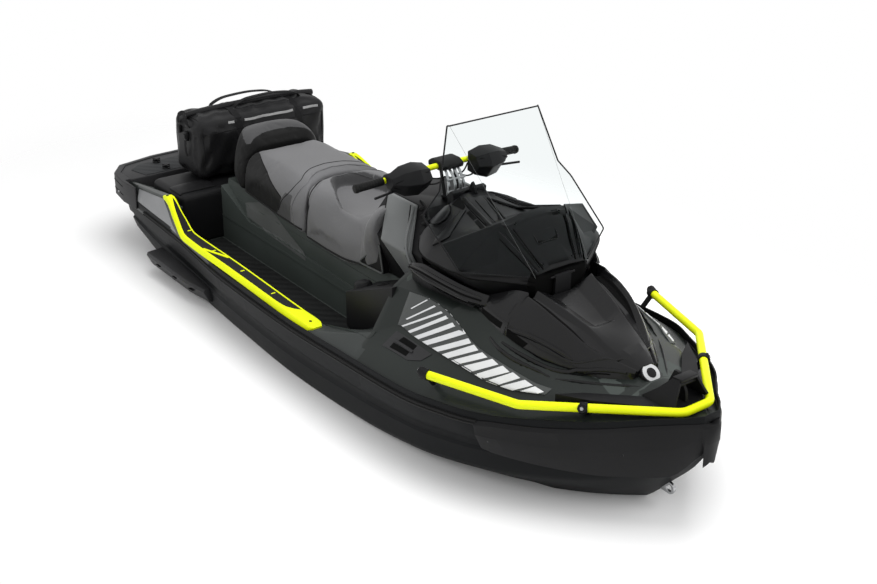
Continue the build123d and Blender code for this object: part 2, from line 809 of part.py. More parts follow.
def make_seat_rear():
    """Make the passengers' seat."""
    with BuildPart() as seat:
        loft([seat_section(aft(906), SEAT_BASE_HALF - 17, 235, 195, 440, 560, 645),
              seat_section(aft(1058), SEAT_BASE_HALF - 12, 240, 200, 430, 560, 650),
              seat_section(-600, SEAT_BASE_HALF - 4, 250, 205, 420, 560, 643),
              seat_section(SEAT_STEP, SEAT_BASE_HALF, 250, 205, 415, 560, 640)])
    return seat


def make_seat_hump():
    """Make the raised bolster behind the passengers' seat."""
    with BuildPart() as hump:
        loft([seat_section(aft(646), SEAT_BASE_HALF - 40, 205, 160, 462, 560, 655),
              seat_section(aft(806), SEAT_BASE_HALF - 27, 225, 180, 450, 600, 728),
              seat_section(aft(902), SEAT_BASE_HALF - 17, 235, 190, 440, 580, 680)])
    return hump


def make_footwell_boxes(console, cowls):
    """Make the dark box that closes the front of each footwell."""
    rear, front = fore(1635), fore(1313) - 0.3
    with BuildPart() as boxes:
        add(side_prism([(rear, 268), (rear + 40, 250), (front - 40, 385), (front, 385), (front, 562),
                        (rear - 5, 420)], PEDESTAL_HALF + 0.3, 420))
        mirror(about=Plane.XZ)
        for other in (DECK, console, cowls):
            add(other.part, mode=Mode.SUBTRACT)
    return boxes


def make_pedestal_panels():
    """Make the thin cover on each side of the pedestal."""
    edge = 385
    foot, top = PEDESTAL_HALF, blend(PEDESTAL_HALF, PEDESTAL_TOP_HALF, (edge - 268) / (PEDESTAL_TOP - 268))
    outline = [(foot + 0.2, 268), (foot + 3, 268), (top + 3, edge), (top + 0.2, edge)]
    with BuildPart() as panels:
        add(strip([(REAR_WALL + 6, outline), (fore(1635) - 12, outline)]))
        add(DECK.part, mode=Mode.SUBTRACT)
    return panels


def make_quarter_panels():
    """Make the pale panel on each rear quarter, above the joint line."""
    stations = []
    for x in (aft(404), aft(700)):
        (side, bond), (crease, top) = bond_at(x), gunwale_at(x)
        stations.append((x, [(blend(side, crease, 0.12) + 0.3, blend(bond, top, 0.12)),
                             (blend(side, crease, 0.12) + 3, blend(bond, top, 0.12)),
                             (blend(side, crease, 0.95) + 3, blend(bond, top, 0.95)),
                             (blend(side, crease, 0.95) + 0.3, blend(bond, top, 0.95))]))
    with BuildPart() as panels:
        add(strip(stations))
        add(DECK.part, mode=Mode.SUBTRACT)
    return panels


BAG_CENTRE_Y = 80
BAG_HALF = 350
BAG_FRONT = aft(621)
BAG_REAR = aft(341)
BAG_BOTTOM = 405.3
BAG_TOP = 700


def make_bag():
    """Make the closed soft dry bag that is clipped across the rear deck."""
    with BuildPart() as bag:
        add(side_prism([(BAG_REAR, BAG_BOTTOM), (BAG_FRONT, BAG_BOTTOM), (BAG_FRONT, BAG_TOP - 30),
                        (BAG_FRONT - 60, BAG_TOP), (BAG_REAR + 60, BAG_TOP), (BAG_REAR, BAG_TOP - 30)],
                       BAG_CENTRE_Y - BAG_HALF, BAG_CENTRE_Y + BAG_HALF))
        fillet(bag.edges().filter_by(Axis.Y), 25)
    return bag


def make_bag_straps(bag):
    """Make the two straps round the bag and the carry handles over it."""
    with BuildPart() as straps:
        for y in (BAG_CENTRE_Y - 150, BAG_CENTRE_Y + 190):
            add(side_prism([(BAG_REAR - 3, 440), (BAG_FRONT + 3, 440), (BAG_FRONT + 3, BAG_TOP - 28),
                            (BAG_FRONT - 58, BAG_TOP + 3), (BAG_REAR + 58, BAG_TOP + 3),
                            (BAG_REAR - 3, BAG_TOP - 28)], y - 18, y + 18))
        for x in (BAG_FRONT - 100, BAG_REAR + 100):
            add(tube([(x, BAG_CENTRE_Y - 150, BAG_TOP), (x, BAG_CENTRE_Y - 110, BAG_TOP + 45),
                      (x, BAG_CENTRE_Y + 150, BAG_TOP + 45), (x, BAG_CENTRE_Y + 190, BAG_TOP)], 8, 30))
        add(bag.part, mode=Mode.SUBTRACT)
    return straps


RAIL_PATH = [(fore(882), 587, 432), (fore(508), 460, 437), (fore(100), 66, 463)]


def make_bow_rail():
    """Make the bent tube rail round the bow."""
    path = RAIL_PATH + [(x, -y, z) for x, y, z in reversed(RAIL_PATH)]
    with BuildPart() as rail:
        add(tube(path, RAIL_RADIUS, 55))
    return rail


def make_rail_clamps(rail):
    """Make the clamps and posts that carry the bow rail."""
    end, bend, front = (Vector(*point) for point in RAIL_PATH)
    along = (bend - end).normalized()
    middle = bend + (front - bend) * 0.4
    across = (front - bend).normalized()
    with BuildPart() as clamps:
        for point, way in ((end + along * 6, along), (middle, across)):
            start, stop = point - way * 14, point + way * 14
            add(cylinder_between(tuple(start), tuple(stop), RAIL_RADIUS + 5))
            foot = Vector(point.X - 8, point.Y - 46, point.Z - 56)
            add(cylinder_between((point.X, point.Y - 8, point.Z - 8), tuple(foot), 11))
        mirror(about=Plane.XZ)
        add(rail.part, mode=Mode.SUBTRACT)
        add(DECK.part, mode=Mode.SUBTRACT)
    return clamps


def make_bow_bracket(rail, clamps, fascia):
    """Make the plate between the fore deck and the bow rail."""
    outline = [(fore(455), 335), (fore(352), 268), (fore(104), 40), (fore(104), -40), (fore(352), -268),
               (fore(455), -335), (fore(405), -250), (fore(295), -130), (fore(215), -50), (fore(215), 50),
               (fore(295), 130), (fore(405), 250)]
    with BuildPart() as bracket:
        add(plan_prism(outline, 430, 462))
        add(side_prism([(fore(264), 440), (fore(144), 440), (fore(154), 500), (fore(194), 560),
                        (fore(214), 560)], -6, 6))
        for other in (DECK, rail, clamps, fascia):
            add(other.part, mode=Mode.SUBTRACT)
    return bracket


EYE_RADIUS = 12
EYE_WIDTH = 12


def make_bow_eye(hull, fascia):
    """Make the towing eye at the stem."""
    x, z = fore(180), 90
    with BuildPart() as eye:
        add(cylinder_between((x, -EYE_WIDTH / 2, z), (x, EYE_WIDTH / 2, z), EYE_RADIUS + 12))
        add(side_prism([(x - 60, z - 22), (x, z - 24), (x, z + 24), (x - 60, z + 60)],
                       -EYE_WIDTH / 2, EYE_WIDTH / 2))
        add(cylinder_between((x, -EYE_WIDTH, z), (x, EYE_WIDTH, z), EYE_RADIUS), mode=Mode.SUBTRACT)
        add(hull.part, mode=Mode.SUBTRACT)
        add(fascia.part, mode=Mode.SUBTRACT)
    return eye


def make_stern_eyes():
    """Make the two mooring eyes on the transom."""
    x, z = TRANSOM - 26, 205
    with BuildPart() as eyes:
        for y in (-330, 330):
            low, high = y - EYE_WIDTH / 2, y + EYE_WIDTH / 2
            add(cylinder_between((x, low, z), (x, high, z), EYE_RADIUS + 10))
            add(side_box((x, z - 22), (TRANSOM, z + 22), low, high))
            add(side_box((TRANSOM - 5, z - 34), (TRANSOM, z + 34), y - 22, y + 22))
            add(cylinder_between((x, low - 1, z), (x, high + 1, z), EYE_RADIUS), mode=Mode.SUBTRACT)
    return eyes


SPONSON_REAR = aft(605)
SPONSON_FRONT = aft(1150)


def make_sponsons(hull):
    """Make the side fin on each quarter of the hull, with three stepped openings."""
    sections = []
    for x, reach in ((SPONSON_REAR, 612), (SPONSON_REAR + 400, 612), (SPONSON_FRONT, 592)):
        sections.append((x, [(480, 128), (reach, 118), (reach + 6, 104), (reach - 22, 48), (480, 42)]))
    with BuildPart() as fins:
        add(strip(sections))
        for number in range(3):
            rear = SPONSON_REAR + 55 + number * 165
            for side in (1, -1):
                inner, outer = sorted((side * 585, side * 640))
                add(side_prism([(rear, 68), (rear + 45, 68), (rear + 90, 94), (rear + 56, 94)], inner, outer),
                    mode=Mode.SUBTRACT)
        add(hull.part, mode=Mode.SUBTRACT)
    return fins


def make_cleats():
    """Make the folding mooring cleat on each side deck."""
    stations = []
    for x in (fore(1245), fore(1125)):
        (side, bond), (crease, top) = bond_at(x), gunwale_at(x)
        y, z = blend(side, crease, 0.72), blend(bond, top, 0.72)
        stations.append((x, [(y + 20, z - 18), (y + 26, z - 10), (y - 24, z + 26), (y - 30, z + 18)]))
    with BuildPart() as cleats:
        add(strip(stations))
        add(DECK.part, mode=Mode.SUBTRACT)
    return cleats


LOCK_RADIUS = 21


def make_deck_locks():
    """Make the accessory lock plugs on the boarding platform."""
    with BuildPart() as locks:
        with BuildSketch(Plane.XY.offset(PLATFORM_TOP + MAT_THICKNESS)):
            with Locations(*[(x, y) for x in (aft(120), TRANSOM - 40) for y in (-300, 300)]):
                Circle(LOCK_RADIUS)
                Circle(LOCK_RADIUS * 0.5, mode=Mode.SUBTRACT)
        extrude(amount=6)
    return locks


def make_engine():
    """Make the engine as one plain block."""
    with BuildPart() as engine:
        add(engine_block(0))
        bottom = ENGINE_BOTTOM - BAY_GAP
        for x in (ENGINE_REAR + 60, ENGINE_REAR + ENGINE_LENGTH - 60):
            for y in (-ENGINE_WIDTH / 2 + 40, ENGINE_WIDTH / 2 - 40):
                add(cylinder_between((x, y, bottom), (x, y, ENGINE_BOTTOM), 25))
    return engine


DUCT_REAR = TRANSOM - 60
DUCT_FRONT = TRANSOM + 270
OUTLET_REAR = TRANSOM - 90
OUTLET_RADIUS = 36
OUTLET_WALL = 6
HUB_RADIUS = 24
STEER_PIVOT_X = OUTLET_REAR + 10
BUCKET_PIVOT_X = OUTLET_REAR + 35


def make_pump_housing():
    """Make the jet pump: a duct, its outlet cone, and the pivots it carries."""
    outer = DUCT_RADIUS + HOUSING_WALL
    with BuildPart() as housing:
        with BuildSketch(Plane.XZ):
            with BuildLine():
                Polyline((DUCT_FRONT, JET_Z + DUCT_RADIUS), (TRANSOM + 40, JET_Z + DUCT_RADIUS),
                         (OUTLET_REAR, JET_Z + OUTLET_RADIUS),
                         (OUTLET_REAR, JET_Z + OUTLET_RADIUS + OUTLET_WALL),
                         (TRANSOM + 20, JET_Z + outer), (DUCT_FRONT, JET_Z + outer), close=True)
            make_face()
        revolve(axis=Axis((0, 0, JET_Z), (1, 0, 0)))
        for side in (1, -1):
            pin_end = JET_Z + side * (NOZZLE_RADIUS + NOZZLE_WALL + 12)
            add(cylinder_between((STEER_PIVOT_X, 0, JET_Z + side * 40), (STEER_PIVOT_X, 0, pin_end), PIN_RADIUS))
            for start, end, radius in ((44, 101, 10), (100, 114, PIN_RADIUS)):
                add(cylinder_between((BUCKET_PIVOT_X, side * start, JET_Z), (BUCKET_PIVOT_X, side * end, JET_Z),
                                     radius))
            # Mounting wings that close the duct against the tunnel walls.
            inner, reach = sorted((side * (outer - 3), side * TUNNEL_HALF))
            add(side_box((DUCT_FRONT - 90, JET_Z - 30), (DUCT_FRONT, JET_Z + 30), inner, reach))
        for angle in range(0, 360, 72):
            with BuildPart(mode=Mode.PRIVATE) as vane:
                with BuildSketch(Plane.XY.offset(HUB_RADIUS - 4)):
                    with Locations((TRANSOM + 60, 0)):
                        Rectangle(60, 5)
                extrude(amount=DUCT_RADIUS - HUB_RADIUS + 6)
            add(vane.part.rotate(Axis.X, angle).moved(Location((0, 0, JET_Z))))
        add(cylinder_between((TRANSOM + 20, 0, JET_Z), (TRANSOM + 95, 0, JET_Z), HUB_RADIUS))
        add(cylinder_between((TRANSOM + 50, 0, JET_Z), (TRANSOM + 100, 0, JET_Z), SHAFT_RADIUS + 0.5),
            mode=Mode.SUBTRACT)
    return housing


IMPELLER_LENGTH = 80
BLADE_COUNT = 4


def make_impeller():
    """Make the impeller and its drive shaft, which runs forward to the engine."""
    rear = TRANSOM + 120
    with BuildPart() as impeller:
        add(cylinder_between((TRANSOM + 55, 0, JET_Z), (ENGINE_REAR - 0.5, 0, JET_Z), SHAFT_RADIUS))
        add(cylinder_between((rear, 0, JET_Z), (rear + IMPELLER_LENGTH, 0, JET_Z), HUB_RADIUS + 6))
        for number in range(BLADE_COUNT):
            with BuildPart(mode=Mode.PRIVATE) as blade:
                with BuildSketch(Plane.XY.offset(HUB_RADIUS)):
                    with Locations((rear + IMPELLER_LENGTH / 2, 0)):
                        Rectangle(IMPELLER_LENGTH, 5, rotation=35)
                extrude(amount=DUCT_RADIUS - MOVING_GAP - HUB_RADIUS)
            add(blade.part.rotate(Axis.X, number * 360 / BLADE_COUNT).moved(Location((0, 0, JET_Z))))
    return impeller


def make_steering_nozzle():
    """Make the steering nozzle with its upper and lower ears."""
    front = STEER_PIVOT_X - 20
    rear = front - 90
    outer = NOZZLE_RADIUS + NOZZLE_WALL
    with BuildPart() as nozzle:
        with BuildSketch(Plane.XZ):
            with BuildLine():
                Polyline((front, JET_Z + NOZZLE_RADIUS), (rear, JET_Z + NOZZLE_RADIUS - 14),
                         (rear, JET_Z + outer - 14), (front, JET_Z + outer), close=True)
            make_face()
        revolve(axis=Axis((0, 0, JET_Z), (1, 0, 0)))
        for side in (1, -1):
            low, high = sorted((JET_Z + side * (NOZZLE_RADIUS + 2), JET_Z + side * (outer + 4)))
            add(plan_prism([(front - 30, -16), (STEER_PIVOT_X, -16), (STEER_PIVOT_X, 16), (front - 30, 16)],
                           low, high))
            add(cylinder_between((STEER_PIVOT_X, 0, low), (STEER_PIVOT_X, 0, high), 16))
            add(cylinder_between((STEER_PIVOT_X, 0, low - 1), (STEER_PIVOT_X, 0, high + 1), PIN_RADIUS + 0.5),
                mode=Mode.SUBTRACT)
        add(cylinder_between((rear - 5, 0, JET_Z), (front + 5, 0, JET_Z), NOZZLE_RADIUS - 14),
            mode=Mode.SUBTRACT)
    return nozzle


def make_reverse_bucket():
    """Make the reverse bucket, stowed above the nozzle."""
    def on_arc(radius, angle):
        """Return the side-view point at this radius and angle above straight aft."""
        return (BUCKET_PIVOT_X - radius * cos(radians(angle)), JET_Z + radius * sin(radians(angle)))

    outer = BUCKET_RADIUS + BUCKET_WALL
    low, high, steps = 38, 98, 6
    angles = [low + (high - low) * step / steps for step in range(steps + 1)]
    shell = [on_arc(outer, a) for a in angles] + [on_arc(BUCKET_RADIUS, a) for a in reversed(angles)]
    with BuildPart() as bucket:
        add(side_prism(shell, -110, 110))
        for side in (1, -1):
            inner, reach = sorted((side * 102, side * 110))
            arm = [on_arc(20, 160), on_arc(20, -20)] + [on_arc(outer - 1, a) for a in angles[1:-1]]
            add(side_prism(arm, inner, reach))
            add(cylinder_between((BUCKET_PIVOT_X, inner, JET_Z), (BUCKET_PIVOT_X, reach, JET_Z), 18))
            add(cylinder_between((BUCKET_PIVOT_X, inner - 1, JET_Z), (BUCKET_PIVOT_X, reach + 1, JET_Z),
                                 PIN_RADIUS + 0.5), mode=Mode.SUBTRACT)
    return bucket


def make_ride_plate():
    """Make the plate that closes the tunnel under the pump."""
    with BuildPart() as plate:
        add(plan_prism([(TRANSOM - 60, -80), (TRANSOM, -TUNNEL_HALF), (TRANSOM + 400, -TUNNEL_HALF),
                        (TRANSOM + 400, TUNNEL_HALF), (TRANSOM, TUNNEL_HALF), (TRANSOM - 60, 80)],
                       -188, -178))
    return plate


def make_intake_grate():
    """Make the bars across the jet intake."""
    rear, front = TRANSOM + 400.3, TRANSOM + 700
    with BuildPart() as grate:
        for x in (rear + 8, front - 30):
            add(side_box((x - 8, -190), (x + 8, -176), -TUNNEL_HALF, TUNNEL_HALF))
        for y in (-60, -20, 20, 60):
            add(side_box((rear, -190), (front - 30, -176), y - 5, y + 5))
    return grate


def build_all():
    """Build every sub-part and write one STEP file for each."""
    hull = make_hull()
    fascia = make_bow_fascia(hull)
    console = make_console()
    cowls = make_side_cowls(console)
    base = make_windshield_base()
    bar = make_handlebar()
    guards = make_hand_guards(bar)
    riser = make_steering_riser(bar)
    bag = make_bag()
    rail = make_bow_rail()
    clamps = make_rail_clamps(rail)
    nodes = {
        "hull": hull, "deck": DECK, "rear_platform": make_rear_platform(),
        "rear_bumper": make_rear_bumper(), "rear_mat": make_rear_mat(),
        "footwell_mats": make_footwell_mats(), "footwell_trims": make_footwell_trims(),
        "trim_inserts": make_trim_inserts(), "rub_rail": make_rub_rail(), "bow_fascia": fascia,
        "hood": make_hood(), "side_fairings": make_side_fairings(),
        "wind_deflectors": make_wind_deflectors(), "console": console,
        "side_cowls": cowls, "storage_lid": LID, "lid_hinge": make_lid_hinge(),
        "windshield_base": base, "windshield": make_windshield(base),
        "gauge_pod": make_gauge_pod(), "handlebar": bar, "grips": make_grips(bar),
        "hand_guards": guards, "levers": make_levers(guards), "steering_riser": riser,
        "bar_pad": make_bar_pad(riser, bar), "seat_front": make_seat_front(),
        "seat_rear": make_seat_rear(), "seat_hump": make_seat_hump(),
        "footwell_boxes": make_footwell_boxes(console, cowls), "pedestal_panels": make_pedestal_panels(),
        "quarter_panels": make_quarter_panels(), "bag": bag, "bag_straps": make_bag_straps(bag),
        "bow_rail": rail, "rail_clamps": clamps,
        "bow_bracket": make_bow_bracket(rail, clamps, fascia), "bow_eye": make_bow_eye(hull, fascia),
        "stern_eyes": make_stern_eyes(), "sponsons": make_sponsons(hull), "cleats": make_cleats(),
        "deck_locks": make_deck_locks(), "engine": make_engine(),
        "pump_housing": make_pump_housing(), "impeller": make_impeller(),
        "steering_nozzle": make_steering_nozzle(), "reverse_bucket": make_reverse_bucket(),
        "ride_plate": make_ride_plate(), "intake_grate": make_intake_grate(),
    }
    for node, sub_part in nodes.items():
        save(sub_part, node)


LID = make_storage_lid()
build_all()
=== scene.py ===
"""Looks of a long touring personal watercraft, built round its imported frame."""

import json
import logging
import math
from collections.abc import Callable, Iterable, Sequence
from dataclasses import dataclass
from enum import Enum

import bmesh
import bpy
from mathutils import Euler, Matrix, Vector
from mathutils.bvhtree import BVHTree

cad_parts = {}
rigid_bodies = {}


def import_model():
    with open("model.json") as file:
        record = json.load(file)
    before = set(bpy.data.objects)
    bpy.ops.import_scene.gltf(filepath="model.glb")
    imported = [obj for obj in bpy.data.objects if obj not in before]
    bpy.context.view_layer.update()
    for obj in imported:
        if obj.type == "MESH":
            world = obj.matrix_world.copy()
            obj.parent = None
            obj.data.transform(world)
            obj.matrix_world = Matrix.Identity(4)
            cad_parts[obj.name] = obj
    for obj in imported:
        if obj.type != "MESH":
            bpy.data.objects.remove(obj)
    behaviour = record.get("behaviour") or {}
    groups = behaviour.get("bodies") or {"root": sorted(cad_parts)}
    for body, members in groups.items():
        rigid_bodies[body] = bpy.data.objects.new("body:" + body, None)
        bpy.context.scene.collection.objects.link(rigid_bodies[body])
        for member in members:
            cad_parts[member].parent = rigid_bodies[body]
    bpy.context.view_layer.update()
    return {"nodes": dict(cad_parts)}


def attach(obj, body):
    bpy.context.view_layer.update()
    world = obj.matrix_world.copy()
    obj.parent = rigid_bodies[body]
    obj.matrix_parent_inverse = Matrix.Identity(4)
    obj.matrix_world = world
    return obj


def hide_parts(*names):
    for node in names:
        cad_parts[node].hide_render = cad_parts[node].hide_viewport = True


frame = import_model()
LOG = logging.getLogger("watercraft")
Piece = bpy.types.Object
Pair = tuple[float, float]
Triple = tuple[float, float, float]
Point = Sequence[float]
Points = Sequence[Point]
MERGE = 2e-5
BOTH = (1, -1)


# ---------------------------------------------------------------- finishes


def linear(code: str) -> tuple[float, float, float, float]:
    """Turn an sRGB hex colour into a linear colour with full alpha.

    Args:
        code: a colour such as "#2a2c2b".

    Returns:
        Red, green, blue and alpha for a shader socket.
    """
    parts = [int(code[start:start + 2], 16) / 255 for start in (1, 3, 5)]
    red, green, blue = (c / 12.92 if c <= 0.04045 else ((c + 0.055) / 1.055) ** 2.4 for c in parts)
    return red, green, blue, 1.0


def add_node(tree: bpy.types.NodeTree, kind: str, settings: dict | None = None,
             links: dict | None = None) -> bpy.types.Node:
    """Add a shader node with its settings and incoming links.

    Args:
        tree: the material's node tree.
        kind: the node's type name.
        settings: input sockets by title or number, or lower-case node properties.
        links: output sockets by the input socket that they feed.

    Returns:
        The new node.
    """
    node = tree.nodes.new(kind)
    for key, value in (settings or {}).items():
        if isinstance(key, int) or key[0].isupper():
            node.inputs[key].default_value = value
        else:
            setattr(node, key, value)
    for key, source in (links or {}).items():
        tree.links.new(source, node.inputs[key])
    return node


class Pattern(Enum):
    """The relief that a finish carries."""

    GRAIN = "moulded grain"
    LEATHER = "embossed vinyl"
    WEAVE = "crossed threads"
    BRUSHED = "brushed along the craft"
    RIBBED = "raised ribs"


@dataclass(frozen=True)
class Finish:
    """A surface finish: its colours, gloss and relief, with sizes in millimetres."""

    title: str
    colour: str
    shade: str
    rough: float
    pattern: Pattern = Pattern.GRAIN
    size: float = 3.0
    depth: float = 0.15
    mottle: float = 220.0
    spread: float = 0.08
    metallic: float = 0.0
    coat: float = 0.0
    coat_rough: float = 0.06
    sheen: float = 0.0
    turn: float = 0.0
    specular: float = 0.15

    def relief(self, tree: bpy.types.NodeTree, place: bpy.types.NodeSocket) -> bpy.types.NodeSocket:
        """Build this finish's relief.

        Args:
            tree: the material's node tree.
            place: the coordinate that the relief reads.

        Returns:
            The socket that carries its height.
        """
        scale = 1000 / self.size
        if self.pattern is Pattern.LEATHER:
            cells = add_node(tree, "ShaderNodeTexVoronoi", {"feature": "DISTANCE_TO_EDGE", "Scale": scale},
                             {"Vector": place})
            return cells.outputs["Distance"]
        if self.pattern is Pattern.WEAVE:
            threads = [add_node(tree, "ShaderNodeTexWave", {"bands_direction": way, "Scale": scale / 6.3},
                                {"Vector": place}).outputs["Fac"] for way in ("X", "Y", "Z")]
            pair = add_node(tree, "ShaderNodeMath", {"operation": "MAXIMUM"}, {0: threads[0], 1: threads[1]})
            return add_node(tree, "ShaderNodeMath", {"operation": "MAXIMUM"},
                            {0: pair.outputs[0], 1: threads[2]}).outputs[0]
        if self.pattern is Pattern.RIBBED:
            turned = add_node(tree, "ShaderNodeMapping", {"Rotation": (0, 0, self.turn)}, {"Vector": place})
            return add_node(tree, "ShaderNodeTexWave", {"bands_direction": "X", "Scale": scale / 6.3},
                            {"Vector": turned.outputs[0]}).outputs["Fac"]
        if self.pattern is Pattern.BRUSHED:
            drawn = add_node(tree, "ShaderNodeMapping", {"Scale": (0.06, 1.0, 1.0)}, {"Vector": place})
            place = drawn.outputs[0]
        grain = add_node(tree, "ShaderNodeTexNoise", {"Scale": scale, "Detail": 3.0}, {"Vector": place})
        return grain.outputs["Fac"]

    def build(self) -> bpy.types.Material:
        """Make the material, or return it where it was made before.

        Returns:
            The finished material.
        """
        made = bpy.data.materials.get(self.title)
        if made is not None:
            return made
        material = bpy.data.materials.new(self.title)
        material.use_nodes = True
        tree = material.node_tree
        shader = tree.nodes["Principled BSDF"]
        place = add_node(tree, "ShaderNodeTexCoord").outputs["Object"]
        height = self.relief(tree, place)
        cloud = add_node(tree, "ShaderNodeTexNoise", {"Scale": 1000 / self.mottle, "Detail": 4.0},
                         {"Vector": place})
        blend = add_node(tree, "ShaderNodeMath", {"operation": "MULTIPLY_ADD", 1: 0.45},
                         {0: height, 2: cloud.outputs["Fac"]})
        share = add_node(tree, "ShaderNodeMapRange", {"From Min": 0.45, "From Max": 0.95},
                         {"Value": blend.outputs[0]})
        tint = add_node(tree, "ShaderNodeMix", {"data_type": "RGBA"},
                        {"Factor": share.outputs[0]})
        tint.inputs[6].default_value, tint.inputs[7].default_value = linear(self.shade), linear(self.colour)
        gloss = add_node(tree, "ShaderNodeMapRange",
                         {"To Min": max(self.rough - self.spread, 0.02), "To Max": self.rough + self.spread},
                         {"Value": cloud.outputs["Fac"]})
        bump = add_node(tree, "ShaderNodeBump", {"Strength": 0.6, "Distance": self.depth / 1000},
                        {"Height": height})
        tree.links.new(tint.outputs[2], shader.inputs["Base Color"])
        tree.links.new(gloss.outputs[0], shader.inputs["Roughness"])
        tree.links.new(bump.outputs[0], shader.inputs["Normal"])
        shader.inputs["Metallic"].default_value = self.metallic
        shader.inputs["Coat Weight"].default_value = self.coat
        shader.inputs["Coat Roughness"].default_value = self.coat_rough
        shader.inputs["Sheen Weight"].default_value = self.sheen
        shader.inputs["Specular IOR Level"].default_value = 0.5 if self.metallic else self.specular
        if self.sheen:
            shader.inputs["Sheen Roughness"].default_value = 0.45
        return material


@dataclass(frozen=True)
class ClearSheet:
    """Clear cast acrylic, so thin that it neither bends nor mirrors the light, with a faint cool tint."""

    title: str = "clear cast acrylic"
    colour: str = "#f4f8f8"
    bend: float = 1.0

    def build(self) -> bpy.types.Material:
        """Make the clear material.

        Returns:
            The finished material.
        """
        material = bpy.data.materials.get(self.title)
        if material is None:
            material = bpy.data.materials.new(self.title)
            material.use_nodes = True
            tree = material.node_tree
            shader = tree.nodes["Principled BSDF"]
            place = add_node(tree, "ShaderNodeTexCoord").outputs["Object"]
            haze = add_node(tree, "ShaderNodeTexNoise", {"Scale": 9.0, "Detail": 2.0}, {"Vector": place})
            gloss = add_node(tree, "ShaderNodeMapRange", {"To Min": 0.0, "To Max": 0.004},
                             {"Value": haze.outputs["Fac"]})
            tree.links.new(gloss.outputs[0], shader.inputs["Roughness"])
            shader.inputs["Base Color"].default_value = linear(self.colour)
            shader.inputs["Transmission Weight"].default_value = 1.0
            shader.inputs["IOR"].default_value = self.bend
        return material


# Gelcoat is sprayed in a mould, so it is smooth, with a thin clear gloss.
HULL_GEL = Finish("dark gelcoat", "#151617", "#101112", 0.42, size=1.4, depth=0.04, mottle=700, specular=0.06)
DECK_GEL = Finish("graphite gelcoat", "#353837", "#2c2f2e", 0.38, size=1.2, depth=0.04, mottle=600, coat=0.08,
                  coat_rough=0.15)
FORE_GEL = Finish("green-grey gelcoat", "#202422", "#191c1b", 0.34, size=1.2, depth=0.04, mottle=500,
                  coat=0.12, coat_rough=0.12)
# Painted and clear-coated panels mirror the light softly.
HOOD_PAINT = Finish("gloss black paint", "#0f0f10", "#0a0a0b", 0.28, size=1.0, depth=0.02, mottle=400,
                    coat=0.28, coat_rough=0.08)
FAIRING_PAINT = Finish("metallic grey paint", "#363938", "#2f3231", 0.42, size=0.9, depth=0.03, mottle=350,
                       metallic=0.05, coat=0.08, coat_rough=0.2)
COWL_PAINT = Finish("pale grey paint", "#656767", "#585a5a", 0.4, size=0.9, depth=0.03, mottle=300, coat=0.15,
                    coat_rough=0.2)
SILVER_FILM = Finish("silver film", "#cfd0d1", "#c0c1c3", 0.38, size=1.0, depth=0.01, mottle=120, coat=0.1,
                     coat_rough=0.2)
PANEL_FILM = Finish("quarter panel film", "#828384", "#707173", 0.42, size=1.0, depth=0.01, mottle=160,
                    coat=0.1)
# Moulded polypropylene keeps a fine spark-eroded grain, drawn coarser here so that it shows.
BLACK_MOULDING = Finish("grained black moulding", "#161617", "#0f0f10", 0.5, size=2.2, depth=0.12, mottle=260)
GREY_MOULDING = Finish("grained dark grey moulding", "#303031", "#262627", 0.5, size=2.2, depth=0.12,
                       mottle=260)
LID_MOULDING = Finish("satin charcoal moulding", "#131314", "#0d0d0e", 0.38, size=1.8, depth=0.06, mottle=300,
                      coat=0.06, coat_rough=0.2)
PEDESTAL_SKIN = Finish("smooth dark green moulding", "#3c413f", "#333835", 0.44, size=1.8, depth=0.05,
                       mottle=420)
PALE_MOULDING = Finish("grained mid grey moulding", "#525453", "#464847", 0.5, size=2.0, depth=0.1,
                       mottle=200)
RUBBER = Finish("black rubber", "#141414", "#0d0d0d", 0.62, size=1.6, depth=0.1, mottle=90, specular=0.2)
GRIP_RUBBER = Finish("ribbed grip rubber", "#131313", "#0c0c0c", 0.65, Pattern.RIBBED, 6.0, 0.8,
                     turn=math.pi / 2, specular=0.2)
STERN_FOAM = Finish("smooth traction foam", "#38393a", "#2f3031", 0.8, Pattern.RIBBED, 24.0, 0.8,
                    turn=math.pi / 4, specular=0.15)
MAT_FOAM = Finish("grooved traction foam", "#202121", "#151616", 0.8, Pattern.RIBBED, 24.0, 1.6,
                  turn=math.pi / 4, specular=0.2)
# Marine vinyl has a pebble of about 2 mm, drawn at 5 mm.
SEAT_VINYL = Finish("pale marine vinyl", "#68686a", "#585859", 0.5, Pattern.LEATHER, 5.0, 0.25, 500,
                    sheen=0.1)
SIDE_VINYL = Finish("mid grey marine vinyl", "#454546", "#3a3a3b", 0.5, Pattern.LEATHER, 5.0, 0.25, 500,
                    sheen=0.1)
# The darker vinyl is the hump's own colour, and also painted shade on the wall of the step behind the driver.
HUMP_AND_STEP_SHADE_VINYL = Finish("dark marine vinyl", "#464647", "#3a3a3b", 0.5, Pattern.LEATHER, 5.0, 0.25, 400,
                    sheen=0.08)
BLACK_VINYL = Finish("black marine vinyl", "#0d0d0e", "#090909", 0.5, Pattern.LEATHER, 5.0, 0.25, 400,
                     sheen=0.05)
# Coated tarpaulin shows its base cloth of about 1 mm threads, drawn at 4 mm.
BAG_TARPAULIN = Finish("coated tarpaulin", "#151516", "#0e0e0f", 0.48, Pattern.WEAVE, 4.0, 0.12, 160,
                       coat=0.1, coat_rough=0.25)
WEBBING = Finish("woven webbing", "#121213", "#0b0b0c", 0.75, Pattern.WEAVE, 3.0, 0.4, 60, specular=0.2)
REFLECTIVE = Finish("reflective tape", "#8c8c8c", "#787878", 0.4, Pattern.WEAVE, 2.5, 0.05, 40)
